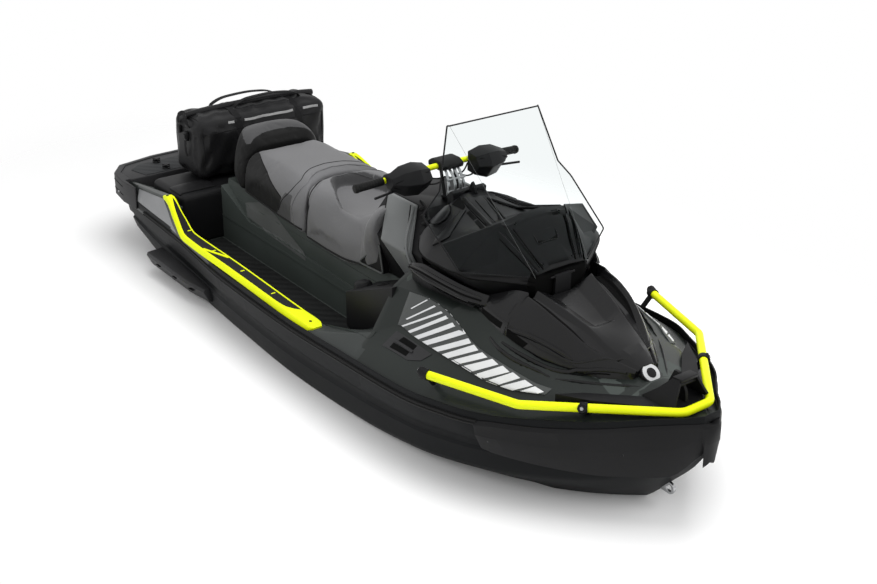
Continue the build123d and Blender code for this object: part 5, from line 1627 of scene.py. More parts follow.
@dataclass
class Console:
    """The steering console, its pale cowls, the small vents and the wind deflectors."""

    line: float = 0.0022

    def cowls(self) -> None:
        """Build the pale cowls with a rolled rim and dark joint lines."""
        shape = dress(refined("side_cowls", "pale_cowls", 0.006, 25, 3), COWL_PAINT, "craft",
                      ["side_cowls"])
        rows = Rows([(0.47, 0.41, 0.515, 0.232), (0.64, 0.25, 0.44, 0.285), (0.783, 0.14, 0.33, 0.17)])
        path, inset, rear = [], [], []
        for z in steps(0.48, 0.775, 12):
            back, front, outer = rows.at(z)
            path.append((front - 0.004, outer + 0.003, z + 0.004))
            inset.append((front - 0.03, outer + 0.006, z + 0.004))
            rear.append((back + 0.004, outer + 0.003, z))
        surface = Surface([shape])
        darks = []
        for line in (inset, rear):
            laid = [surface.hit((x, y + 0.1, z), (0, -1, 0), 0.0006) for x, y, z in line]
            darks.append(mirrored(tube("cowl_line", laid, self.line, sides=2)))
        rim = mirrored(tube("cowl_rim", path, 0.006, sides=3))
        dress(joined("cowl_joint_lines", darks), GAP_AND_PAINTED_SHADE, "craft")
        dress(joined("cowl_rims", [rim]), COWL_PAINT, "craft")

    def body(self) -> None:
        """Build the console moulding with its switch panel and cavity parts."""
        dress(refined("console", "console_moulding", 0.005, 28, 3), BLACK_MOULDING, "craft",
              ["console"])
        bits = []
        for side in BOTH:
            for x, y, z, size in ((0.335, 0.15, 0.762, 0.02), (0.372, 0.165, 0.752, 0.016),
                                  (0.402, 0.185, 0.735, 0.014), (0.31, 0.176, 0.75, 0.012)):
                bits.append(rod("cavity_part", (x, side * y, z), (x + 0.03, side * (y + 0.01), z + size),
                                size * 0.5, sides=12, bevel=0.002))
            bits.append(tube("cavity_cable", [(0.3, side * 0.12, 0.788), (0.34, side * 0.135, 0.8),
                                              (0.395, side * 0.15, 0.79), (0.44, side * 0.18, 0.76)], 0.004,
                             sides=2))
        dress(joined("cavity_parts", bits), RUBBER, "craft")

    def deflectors(self) -> None:
        """Build the wind deflectors with their slots and thin upper lip."""
        table = Rows([(0.536, 0.35, 0.652, 0.358, 0.64, 0.338, 0.632, 0.326, 0.648),
                      (0.58, 0.358, 0.676, 0.371, 0.645, 0.35, 0.625, 0.328, 0.664),
                      (0.65, 0.356, 0.692, 0.375, 0.645, 0.35, 0.618, 0.33, 0.68),
                      (0.74, 0.352, 0.688, 0.365, 0.64, 0.335, 0.6, 0.326, 0.676),
                      (0.83, 0.334, 0.676, 0.348, 0.632, 0.322, 0.598, 0.306, 0.664),
                      (0.89, 0.306, 0.662, 0.326, 0.622, 0.304, 0.596, 0.282, 0.65),
                      (0.935, 0.276, 0.652, 0.292, 0.614, 0.276, 0.592, 0.258, 0.64)])
        rings = [[(x, y, z) for y, z in table.pairs(x)] for x in steps(0.536, 0.935, 24)]
        blade = eased(mirrored(loft("wind_deflector_blades", rings)), 0.003, 2, 20)
        dress(blade, HOOD_PAINT, "craft", ["wind_deflectors"])
        foot = loft("deflector_feet",
                    [[(x, y - 0.034, 0.56), (x, y, 0.56), (x, y + 0.006, 0.634), (x, y - 0.03, 0.634)]
                     for x, y in ((0.545, 0.338), (0.64, 0.346), (0.76, 0.332), (0.88, 0.3))])
        dress(eased(mirrored(foot), 0.003, 2, 25), BLACK_MOULDING, "craft")
        surface = Surface([blade])
        ribs, darks = [], []
        for spots in ([(0.56, 0.356, 0.662), (0.64, 0.366, 0.672), (0.74, 0.36, 0.666), (0.84, 0.34, 0.655),
                       (0.915, 0.292, 0.64)],
                      [(0.59, 0.375, 0.65), (0.68, 0.374, 0.642), (0.78, 0.358, 0.634),
                       (0.88, 0.328, 0.622)]):
            ribs.append(mirrored(rib("deflector_rib", pressed(surface, spots, 0.0, 20), (0.006, 0.01, 0.005),
                                     0.006, 0.4)))
            under = [(x, y + 0.002, z - 0.013) for x, y, z in spots]
            darks.append(mirrored(tube("deflector_slot", pressed(surface, under, 0.0004, 20), 0.0036,
                                       sides=2)))
        dress(joined("deflector_ribs", ribs), HOOD_PAINT, "craft")
        dress(joined("deflector_slots", darks), GAP_AND_PAINTED_SHADE, "craft")

    def build(self) -> None:
        """Build and dress the console pieces."""
        self.cowls()
        self.body()
        self.deflectors()
        dress(refined("lid_hinge", "hinge_barrel", 0.0015, 30), BLACK_MOULDING, "craft",
              ["lid_hinge"])
        boxes = dress(refined("footwell_boxes", "footwell_box_mouldings", 0.008, 25, 3), BLACK_MOULDING,
                      "craft", ["footwell_boxes"])
        surface = Surface([boxes])
        knobs = []
        for side in BOTH:
            spot = surface.hit((0.212, side * 0.34, 0.8), (0, 0, -1))
            knobs.append(rod("box_knob", spot - Vector((0, 0, 0.02)), spot + Vector((-0.006, 0, 0.022)),
                             0.046, 0.034, 24, 0.01))
        dress(joined("box_knobs", knobs), BLACK_MOULDING, "craft")
        slot = film("box_slot", surface,
                    [[(0.325, 0.325, 0.9), (0.375, 0.325, 0.9), (0.372, 0.352, 0.9), (0.322, 0.352, 0.9)]],
                    (0, 0, -1), 0.0012, 5)
        dress(mirrored(slot), GAP_AND_PAINTED_SHADE, "craft")


# ------------------------------------------------------------- soft goods


def softened(points: Sequence[Pair]) -> list[Pair]:
    """Cut an open outline's corners twice, so that it turns smoothly.

    Args:
        points: the outline's corners.

    Returns:
        The softened outline.
    """
    line = [tuple(p) for p in points]
    for _ in range(2):
        cuts = [line[0]]
        for a, b in zip(line, line[1:]):
            cuts += [tuple(p + (q - p) * 0.25 for p, q in zip(a, b)),
                     tuple(p + (q - p) * 0.75 for p, q in zip(a, b))]
        line = [*cuts, line[-1]]
    return line


def ramp(value: float, low: float, high: float) -> float:
    """Return 0 below low, 1 above high, and a smooth rise between them."""
    share = min(max((value - low) / (high - low), 0.0), 1.0)
    return share * share * (3 - 2 * share)


def puffed(obj: Piece, voxel: float, pressure: float, cap: float,
           bend: Callable[[float, float, float], Triple] | None = None) -> Piece:
    """Swell a closed form like a stuffed cover, with simulated cloth.

    Args:
        obj: the closed form, slightly smaller than the finished piece.
        voxel: spacing of the cloth's points in metres.
        pressure: pressure inside.
        cap: the furthest that a point may move, in metres.
        bend: moves each point of the cover to its place before it is swollen.

    Returns:
        The swollen piece.
    """
    modify(obj, "REMESH", mode="VOXEL", voxel_size=voxel, use_smooth_shade=True)
    modify(obj, "SMOOTH", factor=0.5, iterations=4)
    if bend:
        for vertex in obj.data.vertices:
            vertex.co = bend(*vertex.co)
    start = [v.co.copy() for v in obj.data.vertices]
    choose(obj)
    cloth = obj.modifiers.new("Cloth", "CLOTH")
    cloth.settings.quality = 5
    cloth.settings.mass = 0.3
    cloth.settings.use_pressure = True
    cloth.settings.uniform_pressure_force = pressure
    cloth.settings.effector_weights.gravity = 0
    cloth.point_cache.frame_start, cloth.point_cache.frame_end = 1, 20
    for number in range(1, 21):
        bpy.context.scene.frame_set(number)
    bpy.ops.object.modifier_apply(modifier=cloth.name)
    bpy.context.scene.frame_set(1)
    for vertex, before in zip(obj.data.vertices, start):
        move = vertex.co - before
        if move.length > cap:
            vertex.co = before + move.normalized() * cap
    modify(obj, "SMOOTH", factor=0.5, iterations=2)
    modify(obj, "SUBSURF", levels=1, render_levels=1)
    choose(obj)
    bpy.ops.object.shade_smooth()
    return obj


def pressed(surface: Surface, points: Points, lift: float, count: int = 24) -> list[Vector]:
    """Lay a smooth line through a few points onto the nearest parts of a surface.

    Args:
        surface: what the line lies on.
        points: a few points near the surface.
        lift: how far above the surface the line lies.
        count: how many points it gets.

    Returns:
        The line.
    """
    line = []
    for spot in rounded(points, count):
        place, normal, _, _ = surface.tree.find_nearest(Vector(spot))
        line.append(place + normal * lift)
    return line


def second_finish(obj: Piece, finish: Finish, here: Callable[[Vector, Vector], bool]) -> Piece:
    """Give some of an object's faces a second finish.

    Args:
        obj: the object, which already has its first finish.
        finish: the second finish.
        here: tells by centre and normal which faces take it.

    Returns:
        The same object.
    """
    obj.data.materials.append(finish.build())
    number = len(obj.data.materials) - 1
    for face in obj.data.polygons:
        if here(face.center, face.normal):
            face.material_index = number
    return obj


# x, then half breadth at base, side and top, and height of edge, side and top.
FRONT_SEAT_LINES = Rows([
    (-0.394, 0.256, 0.248, 0.205, 0.415, 0.545, 0.648), (-0.3, 0.26, 0.25, 0.205, 0.408, 0.53, 0.64),
    (-0.23, 0.262, 0.249, 0.2, 0.405, 0.52, 0.63), (-0.08, 0.256, 0.232, 0.172, 0.4, 0.515, 0.612),
    (0.02, 0.243, 0.21, 0.14, 0.415, 0.55, 0.642), (0.065, 0.246, 0.24, 0.158, 0.425, 0.586, 0.668),
    (0.105, 0.25, 0.28, 0.21, 0.44, 0.622, 0.704), (0.15, 0.252, 0.302, 0.246, 0.47, 0.644, 0.738),
    (0.195, 0.25, 0.306, 0.256, 0.496, 0.66, 0.756)])
REAR_SEAT_LINES = Rows([
    (-0.965, 0.239, 0.231, 0.192, 0.445, 0.565, 0.642), (-0.813, 0.244, 0.236, 0.198, 0.435, 0.565, 0.646),
    (-0.6, 0.252, 0.245, 0.204, 0.424, 0.563, 0.643), (-0.398, 0.256, 0.246, 0.205, 0.418, 0.56, 0.642)])
HUMP_LINES = Rows([
    (-1.195, 0.07, 0.055, 0.03, 0.48, 0.56, 0.628), (-1.185, 0.11, 0.098, 0.068, 0.472, 0.57, 0.66),
    (-1.165, 0.148, 0.137, 0.102, 0.466, 0.585, 0.688), (-1.125, 0.186, 0.176, 0.136, 0.462, 0.596, 0.708),
    (-1.07, 0.213, 0.204, 0.16, 0.456, 0.602, 0.716), (-1.02, 0.23, 0.222, 0.174, 0.45, 0.594, 0.706),
    (-0.969, 0.239, 0.23, 0.18, 0.445, 0.578, 0.682)])
# x and the angle of the border between the rear seat's top and side, in degrees.
BORDER_TURN = Rows([(-0.96, 45.0), (-0.9, 39.5), (-0.83, 32.5), (-0.76, 26.0), (-0.68, 18.0), (-0.58, 9.0)])
# x and height of the driver's place.
DRIVER_LINE = Rows([(-0.42, 0.586), (-0.36, 0.578), (-0.23, 0.572), (-0.08, 0.592), (0.02, 0.638),
                    (0.065, 0.664), (0.105, 0.702), (0.15, 0.738), (0.195, 0.756)])


@dataclass
class Seats:
    """The front seat, the rear seat and the hump behind it, with their seams."""

    voxel: float = 0.008
    pressure: float = 4.0
    cap: float = 0.008
    joint_bow: float = 0.1
    seam: float = 0.0017
    piping: float = 0.003
    heart: float = 0.5

    def edge_turn(self, x: float) -> float:
        """Return the angle, seen from the seat's heart, at which its pale top meets its dark side."""
        return BORDER_TURN.at(x)[0]

    def spoke(self, x: float, side: int) -> Vector:
        """Return the way from the seat's heart to the border between its top and its side."""
        turn = math.radians(self.edge_turn(x))
        return Vector((0, side * math.cos(turn), math.sin(turn)))

    def beyond(self, place: Vector) -> bool:
        """Tell whether a point lies below the border between the seat's top and its side."""
        return math.degrees(math.atan2(place.z - self.heart, abs(place.y))) < self.edge_turn(place.x)

    def bow(self, y: float) -> float:
        """Return how far the joint between the seats is set back at a half breadth."""
        return self.joint_bow * max(0.0, 1 - (abs(y) / 0.235) ** 2)

    def pad(self, name: str, table: Rows, low: float, high: float, round_low: float,
            round_high: float) -> Piece:
        """Build one padded form from its table.

        Args:
            name: the piece's name.
            table: its sections.
            low: its rear end.
            high: its front end.
            round_low: how far its rear end is rounded off.
            round_high: how far its front end is rounded off.

        Returns:
            The closed form.
        """
        rings = []
        for x in [low, low + round_low * 0.3, *steps(low + round_low, high - round_high, 44),
                  high - round_high * 0.3, high]:
            base, side, top, edge_z, side_z, top_z = table.at(x)
            near = min(1.0, (x - low) / round_low if round_low else 1.0,
                       (high - x) / round_high if round_high else 1.0)
            shrink = 0.012 * (1 - near) ** 2
            half = softened([(0.0, top_z - shrink), (top * 0.6, top_z - shrink - 0.001),
                             (top, top_z - shrink - 0.01), (side - shrink, side_z),
                             (base - shrink, edge_z + 0.03), (base - shrink, edge_z + 0.004),
                             (base - 0.03, edge_z), (0.0, edge_z)])
            ring = [(y, z) for y, z in half] + [(-y, z) for y, z in reversed(half[1:-1])]
            rings.append([(x, y, z) for y, z in ring])
        return loft(name, rings)

    def front_place(self, x: float, y: float, z: float) -> Triple:
        """Set the driver's place down behind a crescent step, and bow the rear end."""
        _, _, _, _, side_z, top_z = FRONT_SEAT_LINES.at(x)
        step = self.step_line(y)
        dip = ramp(x, step, step + 0.018) * (1 - ramp(abs(y), 0.15, 0.2)) * ramp(z, side_z, top_z - 0.02)
        down = dip * max(0.0, top_z - DRIVER_LINE.at(x)[0])
        return x - self.bow(y) * (1 - ramp(x, -0.394, -0.23)), y, z - down

    def rear_place(self, x: float, y: float, z: float) -> Triple:
        """Bow the rear seat's front end."""
        return x - self.bow(y) * ramp(x, -0.64, -0.398), y, z

    def step_line(self, y: float) -> float:
        """Return where the step behind the driver's place stands at a half breadth."""
        return -0.385 + 0.165 * (abs(y) / 0.17) ** 2

    def seams(self, front: Surface, rear: Surface) -> None:
        """Lay the seams and piping on the seats.

        Args:
            front: the driver's pad.
            rear: the passenger's pad.
        """
        dark, pale, skirts = [], [], []

        def laid(surface: Surface, spots: Points, side: int, lift: float) -> list[Vector]:
            """Press one side's line onto a pad."""
            return pressed(surface, [(x, y * side, z) for x, y, z in spots], lift)

        arc = [(-0.6, 0.0, 0.65), (-0.585, 0.08, 0.65), (-0.545, 0.145, 0.648), (-0.516, 0.185, 0.64),
               (-0.53, 0.235, 0.6), (-0.58, 0.255, 0.53), (-0.618, 0.262, 0.47)]
        lip = [(x + 0.05, y, z) for x, y, z in arc[:5]] + [(-0.5, 0.258, 0.52), (-0.47, 0.262, 0.44)]
        edge = [(-0.488, 0.0, 0.652), (-0.478, 0.07, 0.652), (-0.445, 0.125, 0.648), (-0.405, 0.18, 0.64),
                (-0.388, 0.235, 0.59), (-0.382, 0.255, 0.52), (-0.384, 0.262, 0.43)]
        follow = [(x + 0.016, y, z) for x, y, z in edge]
        for side in BOTH:
            dark.append(tube("arc_seam", laid(rear, arc, side, 0.0004), self.seam, sides=2))
            pale.append(tube("arc_piping", laid(rear, lip, side, 0.0004), self.piping, sides=2))
            dark.append(tube("joint_seam", laid(front, edge, side, 0.0004), 0.003, sides=2))
            pale.append(tube("joint_piping", laid(front, follow, side, 0.0002), 0.0022, sides=2))
            border = []
            for x in steps(-0.955, -0.59, 14):
                way = self.spoke(x, side)
                border.append(rear.hit(Vector((x, 0, self.heart)) + way * 0.5, -way, 0.0004))
            dark.append(tube("side_seam", border, self.seam, sides=2))
            for surface, low, high, z in ((front, -0.375, 0.085, 0.425), (rear, -0.95, -0.41, 0.44)):
                foot = [(x, 0.27, z) for x in steps(low, high, 6)]
                skirts.append(tube("seat_skirt", laid(surface, foot, side, 0.001), 0.0045, sides=2))
        dress(joined("seat_seams", dark), GAP_AND_PAINTED_SHADE, "craft")
        dress(joined("seat_piping", pale), SEAT_VINYL, "craft")
        dress(joined("seat_skirt_beads", skirts), BLACK_VINYL, "craft")

    def build(self) -> None:
        """Build, swell and dress the seats."""
        front = puffed(self.pad("front_seat_pad", FRONT_SEAT_LINES, -0.386, 0.192, 0.02, 0.02),
                       self.voxel * 0.8, self.pressure, self.cap, self.front_place)
        rear = puffed(self.pad("rear_seat_pad", REAR_SEAT_LINES, -0.96, -0.404, 0.01, 0.02), self.voxel,
                      self.pressure, self.cap, self.rear_place)
        hump = puffed(self.pad("hump_pad", HUMP_LINES, -1.191, -0.974, 0.004, 0.01), self.voxel,
                      self.pressure, self.cap)
        dress(front, SEAT_VINYL, "craft", ["seat_front"])
        dress(rear, SEAT_VINYL, "craft", ["seat_rear"])
        dress(hump, HUMP_AND_STEP_SHADE_VINYL, "craft", ["seat_hump"])

        def behind(place: Vector) -> bool:
            """Tell whether a point lies behind the slanting line that ends the rear seat's black part."""
            return place.x < -0.66 + (place.z - 0.4) * 0.55

        second_finish(rear, BLACK_VINYL, lambda c, n: (self.beyond(c) or c.z < 0.535) and behind(c))
        second_finish(rear, SIDE_VINYL,
                      lambda c, n: abs(c.y) > 0.2 and c.z < 0.57 and not behind(c) and c.x < -0.51)
        second_finish(hump, BLACK_VINYL,
                      lambda c, n: n.z < 0.62 or c.x > -0.978 - 0.046 * max(0.0, 1 - (c.y / 0.18) ** 2))
        # The forward-facing wall of the step behind the driver's place takes the darker vinyl as painted
        # shade.
        second_finish(front, HUMP_AND_STEP_SHADE_VINYL,
                      lambda c, n: n.x > 0.35 and c.z > 0.575 and abs(c.y) < 0.17 and c.x < -0.15)
        surface = Surface([front])
        self.seams(surface, Surface([rear]))
        line = []
        for y in steps(-0.15, 0.15, 25):
            step = self.step_line(y)
            back = self.bow(y) * (1 - ramp(step, -0.394, -0.23))
            line.append(surface.hit((step + 0.003 - back, y, 0.9), (0, 0, -1), 0.0006))
        dress(tube("step_seam", line, 0.0022, sides=2), SIDE_VINYL, "craft")
        self.pedestal()

    def pedestal(self) -> None:
        """Lay the pale strips, the foot line and the corner frames on the pedestal."""
        surface = Surface([bpy.data.objects["footwell_tubs"], bpy.data.objects["pedestal_skins"]])
        strip = film("pedestal_strips", surface,
                     [[(-0.962, 0.45, 0.388), (-0.8, 0.45, 0.44), (-0.385, 0.45, 0.318),
                       (-0.385, 0.45, 0.306)],
                      [(-0.962, 0.45, 0.388), (-0.385, 0.45, 0.306), (-0.385, 0.45, 0.3),
                       (-0.924, 0.45, 0.332)]],
                     (0, -1, 0), 0.0012, 12)
        dress(mirrored(strip), PALE_MOULDING, "craft")
        frames, plates = [], []
        for side in BOTH:
            spots = [Vector((0.19, side * 0.248, 0.583)), Vector((0.04, side * 0.25, 0.452)),
                     Vector((0.222, side * 0.25, 0.462))]
            frames.append(tube("corner_frame", [*spots, spots[0]], 0.0045, 0.012, 2))
            plates.append(loft("corner_plate", [[p - Vector((0, side * 0.004, 0)) for p in spots],
                                                [p - Vector((0, side * 0.03, 0)) for p in spots]]))
        dress(joined("corner_frames", frames), PALE_MOULDING, "craft")
        dress(joined("corner_plates", plates), BLACK_MOULDING, "craft")


@dataclass
class Bag:
    """The roll-top bag on the rear deck, with its straps, handles and reflective strip."""

    low: Triple = (-1.53, -0.305, 0.405)
    high: Triple = (-1.25, 0.44, 0.726)
    strap_ys: Pair = (-0.07, 0.27)
    strap_width: float = 0.038

    def shell(self) -> Piece:
        """Build the bag's body, which slumps between its ends.

        Returns:
            The body before it is puffed up.
        """
        rings = []
        mid_x = (self.low[0] + self.high[0]) / 2
        for y in steps(self.low[1] + 0.006, self.high[1] - 0.006, 40):
            from_end = min(y - self.low[1], self.high[1] - y)
            tight = 1 - 0.07 * (1 - ramp(from_end, 0.0, 0.035))
            half = (self.high[0] - self.low[0]) / 2 * tight - 0.003
            sag = 0.012 * (1 - ramp(from_end, 0.0, 0.03))
            slump = 0.006 * math.sin((y - self.low[1]) / 0.7 * math.pi) - sag
            top = self.high[2] - 0.008 + slump
            foot = self.low[2] + 0.008 + 0.012 * (1 - ramp(from_end, 0.0, 0.04))
            corners = [(0.0, top + 0.004), (half * 0.7, top), (half * 0.95, top - 0.012), (half, top - 0.05),
                       (half * 1.01, (top + foot) / 2), (half * 0.99, foot + 0.04),
                       (half * 0.95, foot + 0.004), (0.0, foot)]
            line = softened(corners)
            ring = [(mid_x + a, y, z) for a, z in line] + [(mid_x - a, y, z) for a, z in reversed(line[1:-1])]
            rings.append(ring)
        return loft("bag_body", rings)

    def crumple(self, bag: Piece) -> Piece:
        """Pull soft folds into the bag's sides.

        Args:
            bag: the bag's body.

        Returns:
            The same body.
        """
        for vertex in bag.data.vertices:
            x, y, z = vertex.co
            fold = (0.0035 * math.sin(y * 31 + z * 12) * math.sin(z * 24 + 1.0)
                    + 0.0025 * math.sin(y * 63 - z * 37 + x * 11))
            dent = sum(0.006 * math.exp(-((y - s) / 0.022) ** 2) for s in self.strap_ys)
            inward = (self.heart(y) - vertex.co).normalized()
            vertex.co += inward * (fold + dent * ramp(z, 0.42, 0.47))
        return bag

    def heart(self, y: float) -> Vector:
        """Return the middle of the bag's section at y."""
        return Vector((-1.39, y, 0.55))

    def around(self, surface: Surface, y: float, turns: Sequence[float], lift: float) -> list[Vector]:
        """Lay a line round the bag at y.

        Args:
            surface: the bag's body.
            y: where the line runs.
            turns: the turns in degrees at which it has a point.
            lift: how far above the bag it lies.

        Returns:
            The line's points.
        """
        return [surface.hit(self.heart(y) + bearing(turn) * 0.5, -bearing(turn), lift) for turn in turns]

    def webbing(self, surface: Surface) -> None:
        """Build the straps over the bag, its two handles and its end loop.

        Args:
            surface: the bag.
        """
        straps = []
        for y in self.strap_ys:
            line = self.around(surface, y, steps(-70, 250, 40), 0.0022)
            ups = [p - self.heart(y) for p in line]
            straps.append(ribbon("bag_strap", line, ups, self.strap_width, 0.003))
        for lean, shift in ((-0.04, -0.06), (0.04, 0.03)):
            arch = [(-1.39, -0.09, 0.712), (-1.39, -0.07, 0.744), (-1.392, 0.01, 0.768),
                    (-1.392, 0.12, 0.772), (-1.392, 0.22, 0.764), (-1.39, 0.29, 0.742), (-1.39, 0.31, 0.712)]
            path = [Vector((x + lean, y + shift, z)) for x, y, z in rounded(arch, 26)]
            straps.append(ribbon("bag_handle", path, [(0, 0.0, 1)] * len(path), 0.026, 0.005))
        end_loop = [(-1.35, -0.297, 0.668), (-1.35, -0.311, 0.69), (-1.365, -0.315, 0.72),
                    (-1.4, -0.303, 0.736), (-1.435, -0.311, 0.72), (-1.45, -0.311, 0.68)]
        straps.append(ribbon("end_loop", [Vector(p) for p in rounded(end_loop, 20)], [(0, -1, 0.4)] * 20,
                             0.024, 0.004))
        dress(joined("bag_webbing", straps), WEBBING, "craft", ["bag_straps"])

    def reflectors(self, surface: Surface) -> None:
        """Build the broken reflective strip along the bag's rear side.

        Args:
            surface: the bag.
        """
        shine = []
        for start, end in ((-0.13, -0.098), (-0.04, 0.24), (0.3, 0.385)):
            line = [surface.hit((-1.05, y, 0.69), (-1, 0, 0), 0.0016) for y in steps(start, end, 12)]
            shine.append(ribbon("bag_reflector", line, [(1, 0, 0.25)] * 12, 0.012, 0.002))
        dress(joined("bag_reflectors", shine), REFLECTIVE, "craft")

    def stitching(self, surface: Surface) -> None:
        """Build the seams round the bag's ends and along its rear side.

        Args:
            surface: the bag.
        """
        seams = []
        for y in (self.low[1] + 0.03, self.high[1] - 0.03):
            loop = self.around(surface, y, steps(0, 350, 36), 0.0005)
            seams.append(tube("bag_end_seam", [*loop, loop[0]], 0.0022, sides=2))
        ridge = [surface.hit((-1.05, y, 0.655), (-1, 0, 0), 0.0005) for y in steps(-0.265, 0.4, 24)]
        seams.append(tube("bag_front_seam", ridge, 0.0022, sides=2))
        dress(joined("bag_seams", seams), WEBBING, "craft")

    def buckles(self) -> None:
        """Build the end buckles, the strap sliders and the loose strap end."""
        clips = [block("bag_buckle", (-1.375, -0.322, 0.608), (-1.345, -0.307, 0.652), 0.003),
                 block("bag_buckle", (-1.372, -0.327, 0.62), (-1.348, -0.315, 0.642), 0.002),
                 block("bag_buckle", (-1.445, -0.32, 0.63), (-1.42, -0.307, 0.67), 0.003)]
        clips += [block("strap_slider", (-1.262, y - 0.024, 0.462), (-1.245, y + 0.024, 0.492), 0.003)
                  for y in self.strap_ys]
        dress(joined("bag_buckles", clips), BLACK_MOULDING, "craft")
        tail = [(-1.362, -0.32, 0.61), (-1.36, -0.323, 0.58), (-1.366, -0.319, 0.55), (-1.36, -0.315, 0.525)]
        path = [Vector(p) for p in rounded(tail, 12)]
        dress(ribbon("buckle_tail", path, [(0, -1, 0)] * 12, 0.018, 0.003), WEBBING, "craft")

    def build(self) -> None:
        """Build, swell and dress the bag and everything on it."""
        body = self.crumple(puffed(self.shell(), 0.007, 3.0, 0.007))
        dress(body, BAG_TARPAULIN, "craft", ["bag"])
        surface = Surface([body])
        self.webbing(surface)
        roll = [(-1.395, -0.297, 0.722), (-1.39, -0.18, 0.734), (-1.388, 0.08, 0.738), (-1.39, 0.32, 0.734),
                (-1.395, 0.434, 0.718)]
        closure = tube("bag_roll", roll, 0.017, sides=4)
        dress(closure, BAG_TARPAULIN, "craft")
        self.reflectors(surface)
        self.stitching(surface)
        self.buckles()


# ----------------------------------------------------------------- steering


@dataclass
class Steering:
    """The handlebar with its grips, guards, levers, riser and pad."""

    cable: float = 0.0035

    def guards(self) -> None:
        """Build the hand guards with their raised middles and seams."""
        shape = dress(refined("hand_guards", "hand_guard_shells", 0.007, 20, 3), BLACK_MOULDING, "steering",
                      ["hand_guards"])
        surface = Surface([shape])
        lines = []
        for side in BOTH:
            for spots in (((0.13, 0.868), (0.175, 0.862), (0.235, 0.866), (0.285, 0.892)),
                          ((0.13, 0.932), (0.18, 0.936), (0.24, 0.928), (0.285, 0.908))):
                path = [surface.hit((0.6, side * y, z), (-1, 0, 0), 0.0008) for y, z in spots]
                lines.append(tube("guard_seam", path, 0.0018, sides=2))
        dress(joined("guard_seams", lines), GAP_AND_PAINTED_SHADE, "steering")

    def riser(self) -> None:
        """Build the riser with its curved bright straps and clamp."""
        dress(refined("steering_riser", "riser_column", 0.003, 28), BLACK_MOULDING, "steering",
              ["steering_riser"])
        straps = []
        for y in (-0.036, -0.012, 0.012, 0.036):
            lean = 0.01 if abs(y) > 0.02 else 0.0
            path = rounded([(0.386 - lean, y * 1.15, 0.815), (0.392 - lean, y * 1.1, 0.845),
                            (0.38 - lean, y, 0.88), (0.352, y * 0.9, 0.908), (0.332, y * 0.85, 0.918)], 18)
            points = [Vector(p) for p in path]
            straps.append(ribbon("riser_strap", points, [(1, 0, 0.3)] * 18, 0.012, 0.007))
        straps.append(rod("riser_pin", (0.39, -0.05, 0.832), (0.39, 0.05, 0.832), 0.007, sides=16,
                          bevel=0.0015))
        straps.append(rod("riser_bolt", (0.378, -0.046, 0.88), (0.378, 0.046, 0.88), 0.005, sides=16,
                          bevel=0.001))
        dress(joined("riser_straps", straps), ALUMINIUM, "steering")

    def cables(self) -> None:
        """Build the cable and hose pieces that are clipped along the bar."""
        lines = []
        for side in BOTH:
            lines.append(tube("bar_cable", [(0.315, side * 0.165, 0.885), (0.352, side * 0.12, 0.866),
                                            (0.362, side * 0.08, 0.862), (0.355, side * 0.045, 0.88)],
                              self.cable, sides=2))
            lines.append(tube("bar_hose", [(0.3, side * 0.12, 0.898), (0.32, side * 0.092, 0.88),
                                           (0.34, side * 0.06, 0.874), (0.345, side * 0.03, 0.884)],
                              self.cable, sides=2))
        dress(joined("bar_cables", lines), RUBBER, "steering")

    def build(self) -> None:
        """Build and dress the steering pieces."""
        dress(refined("handlebar", "handlebar_tube", 0.0, 30), YELLOW_COAT, "steering",
              ["handlebar"])
        dress(refined("grips", "grip_sleeves", 0.003, 30), GRIP_RUBBER, "steering", ["grips"])
        dress(refined("levers", "lever_blades", 0.002, 25), BLACK_MOULDING, "steering",
              ["levers"])
        self.guards()
        self.riser()
        self.cables()
        pad = puffed(refined("bar_pad", "bar_pad_cover", 0.0, 30), 0.004, 3.0, 0.003)
        dress(pad, RUBBER, "steering", ["bar_pad"])
        self.ends()

    def ends(self) -> None:
        """Build the grips' end rings and the switch housings beside them."""
        ends, collars = [], []
        path = [Vector(p) for p in ((0.263, 0.405, 0.888), (0.292, 0.12, 0.912))]
        for side in BOTH:
            outer = Vector((path[0].x, side * path[0].y, path[0].z))
            inner = Vector((path[1].x, side * path[1].y, path[1].z))
            way = (inner - outer).normalized()
            ends.append(rod("grip_end", outer - way * 0.006, outer + way * 0.006, 0.0185, sides=24,
                            bevel=0.003))
            spot = outer + way * 0.128
            collars.append(rod("switch_housing", spot, spot + way * 0.042, 0.024, sides=20, bevel=0.005))
        dress(joined("grip_ends", ends), GRIP_RUBBER, "steering")
        dress(joined("switch_housings", collars), BLACK_MOULDING, "steering")


# ------------------------------------------------------------ bow and stern


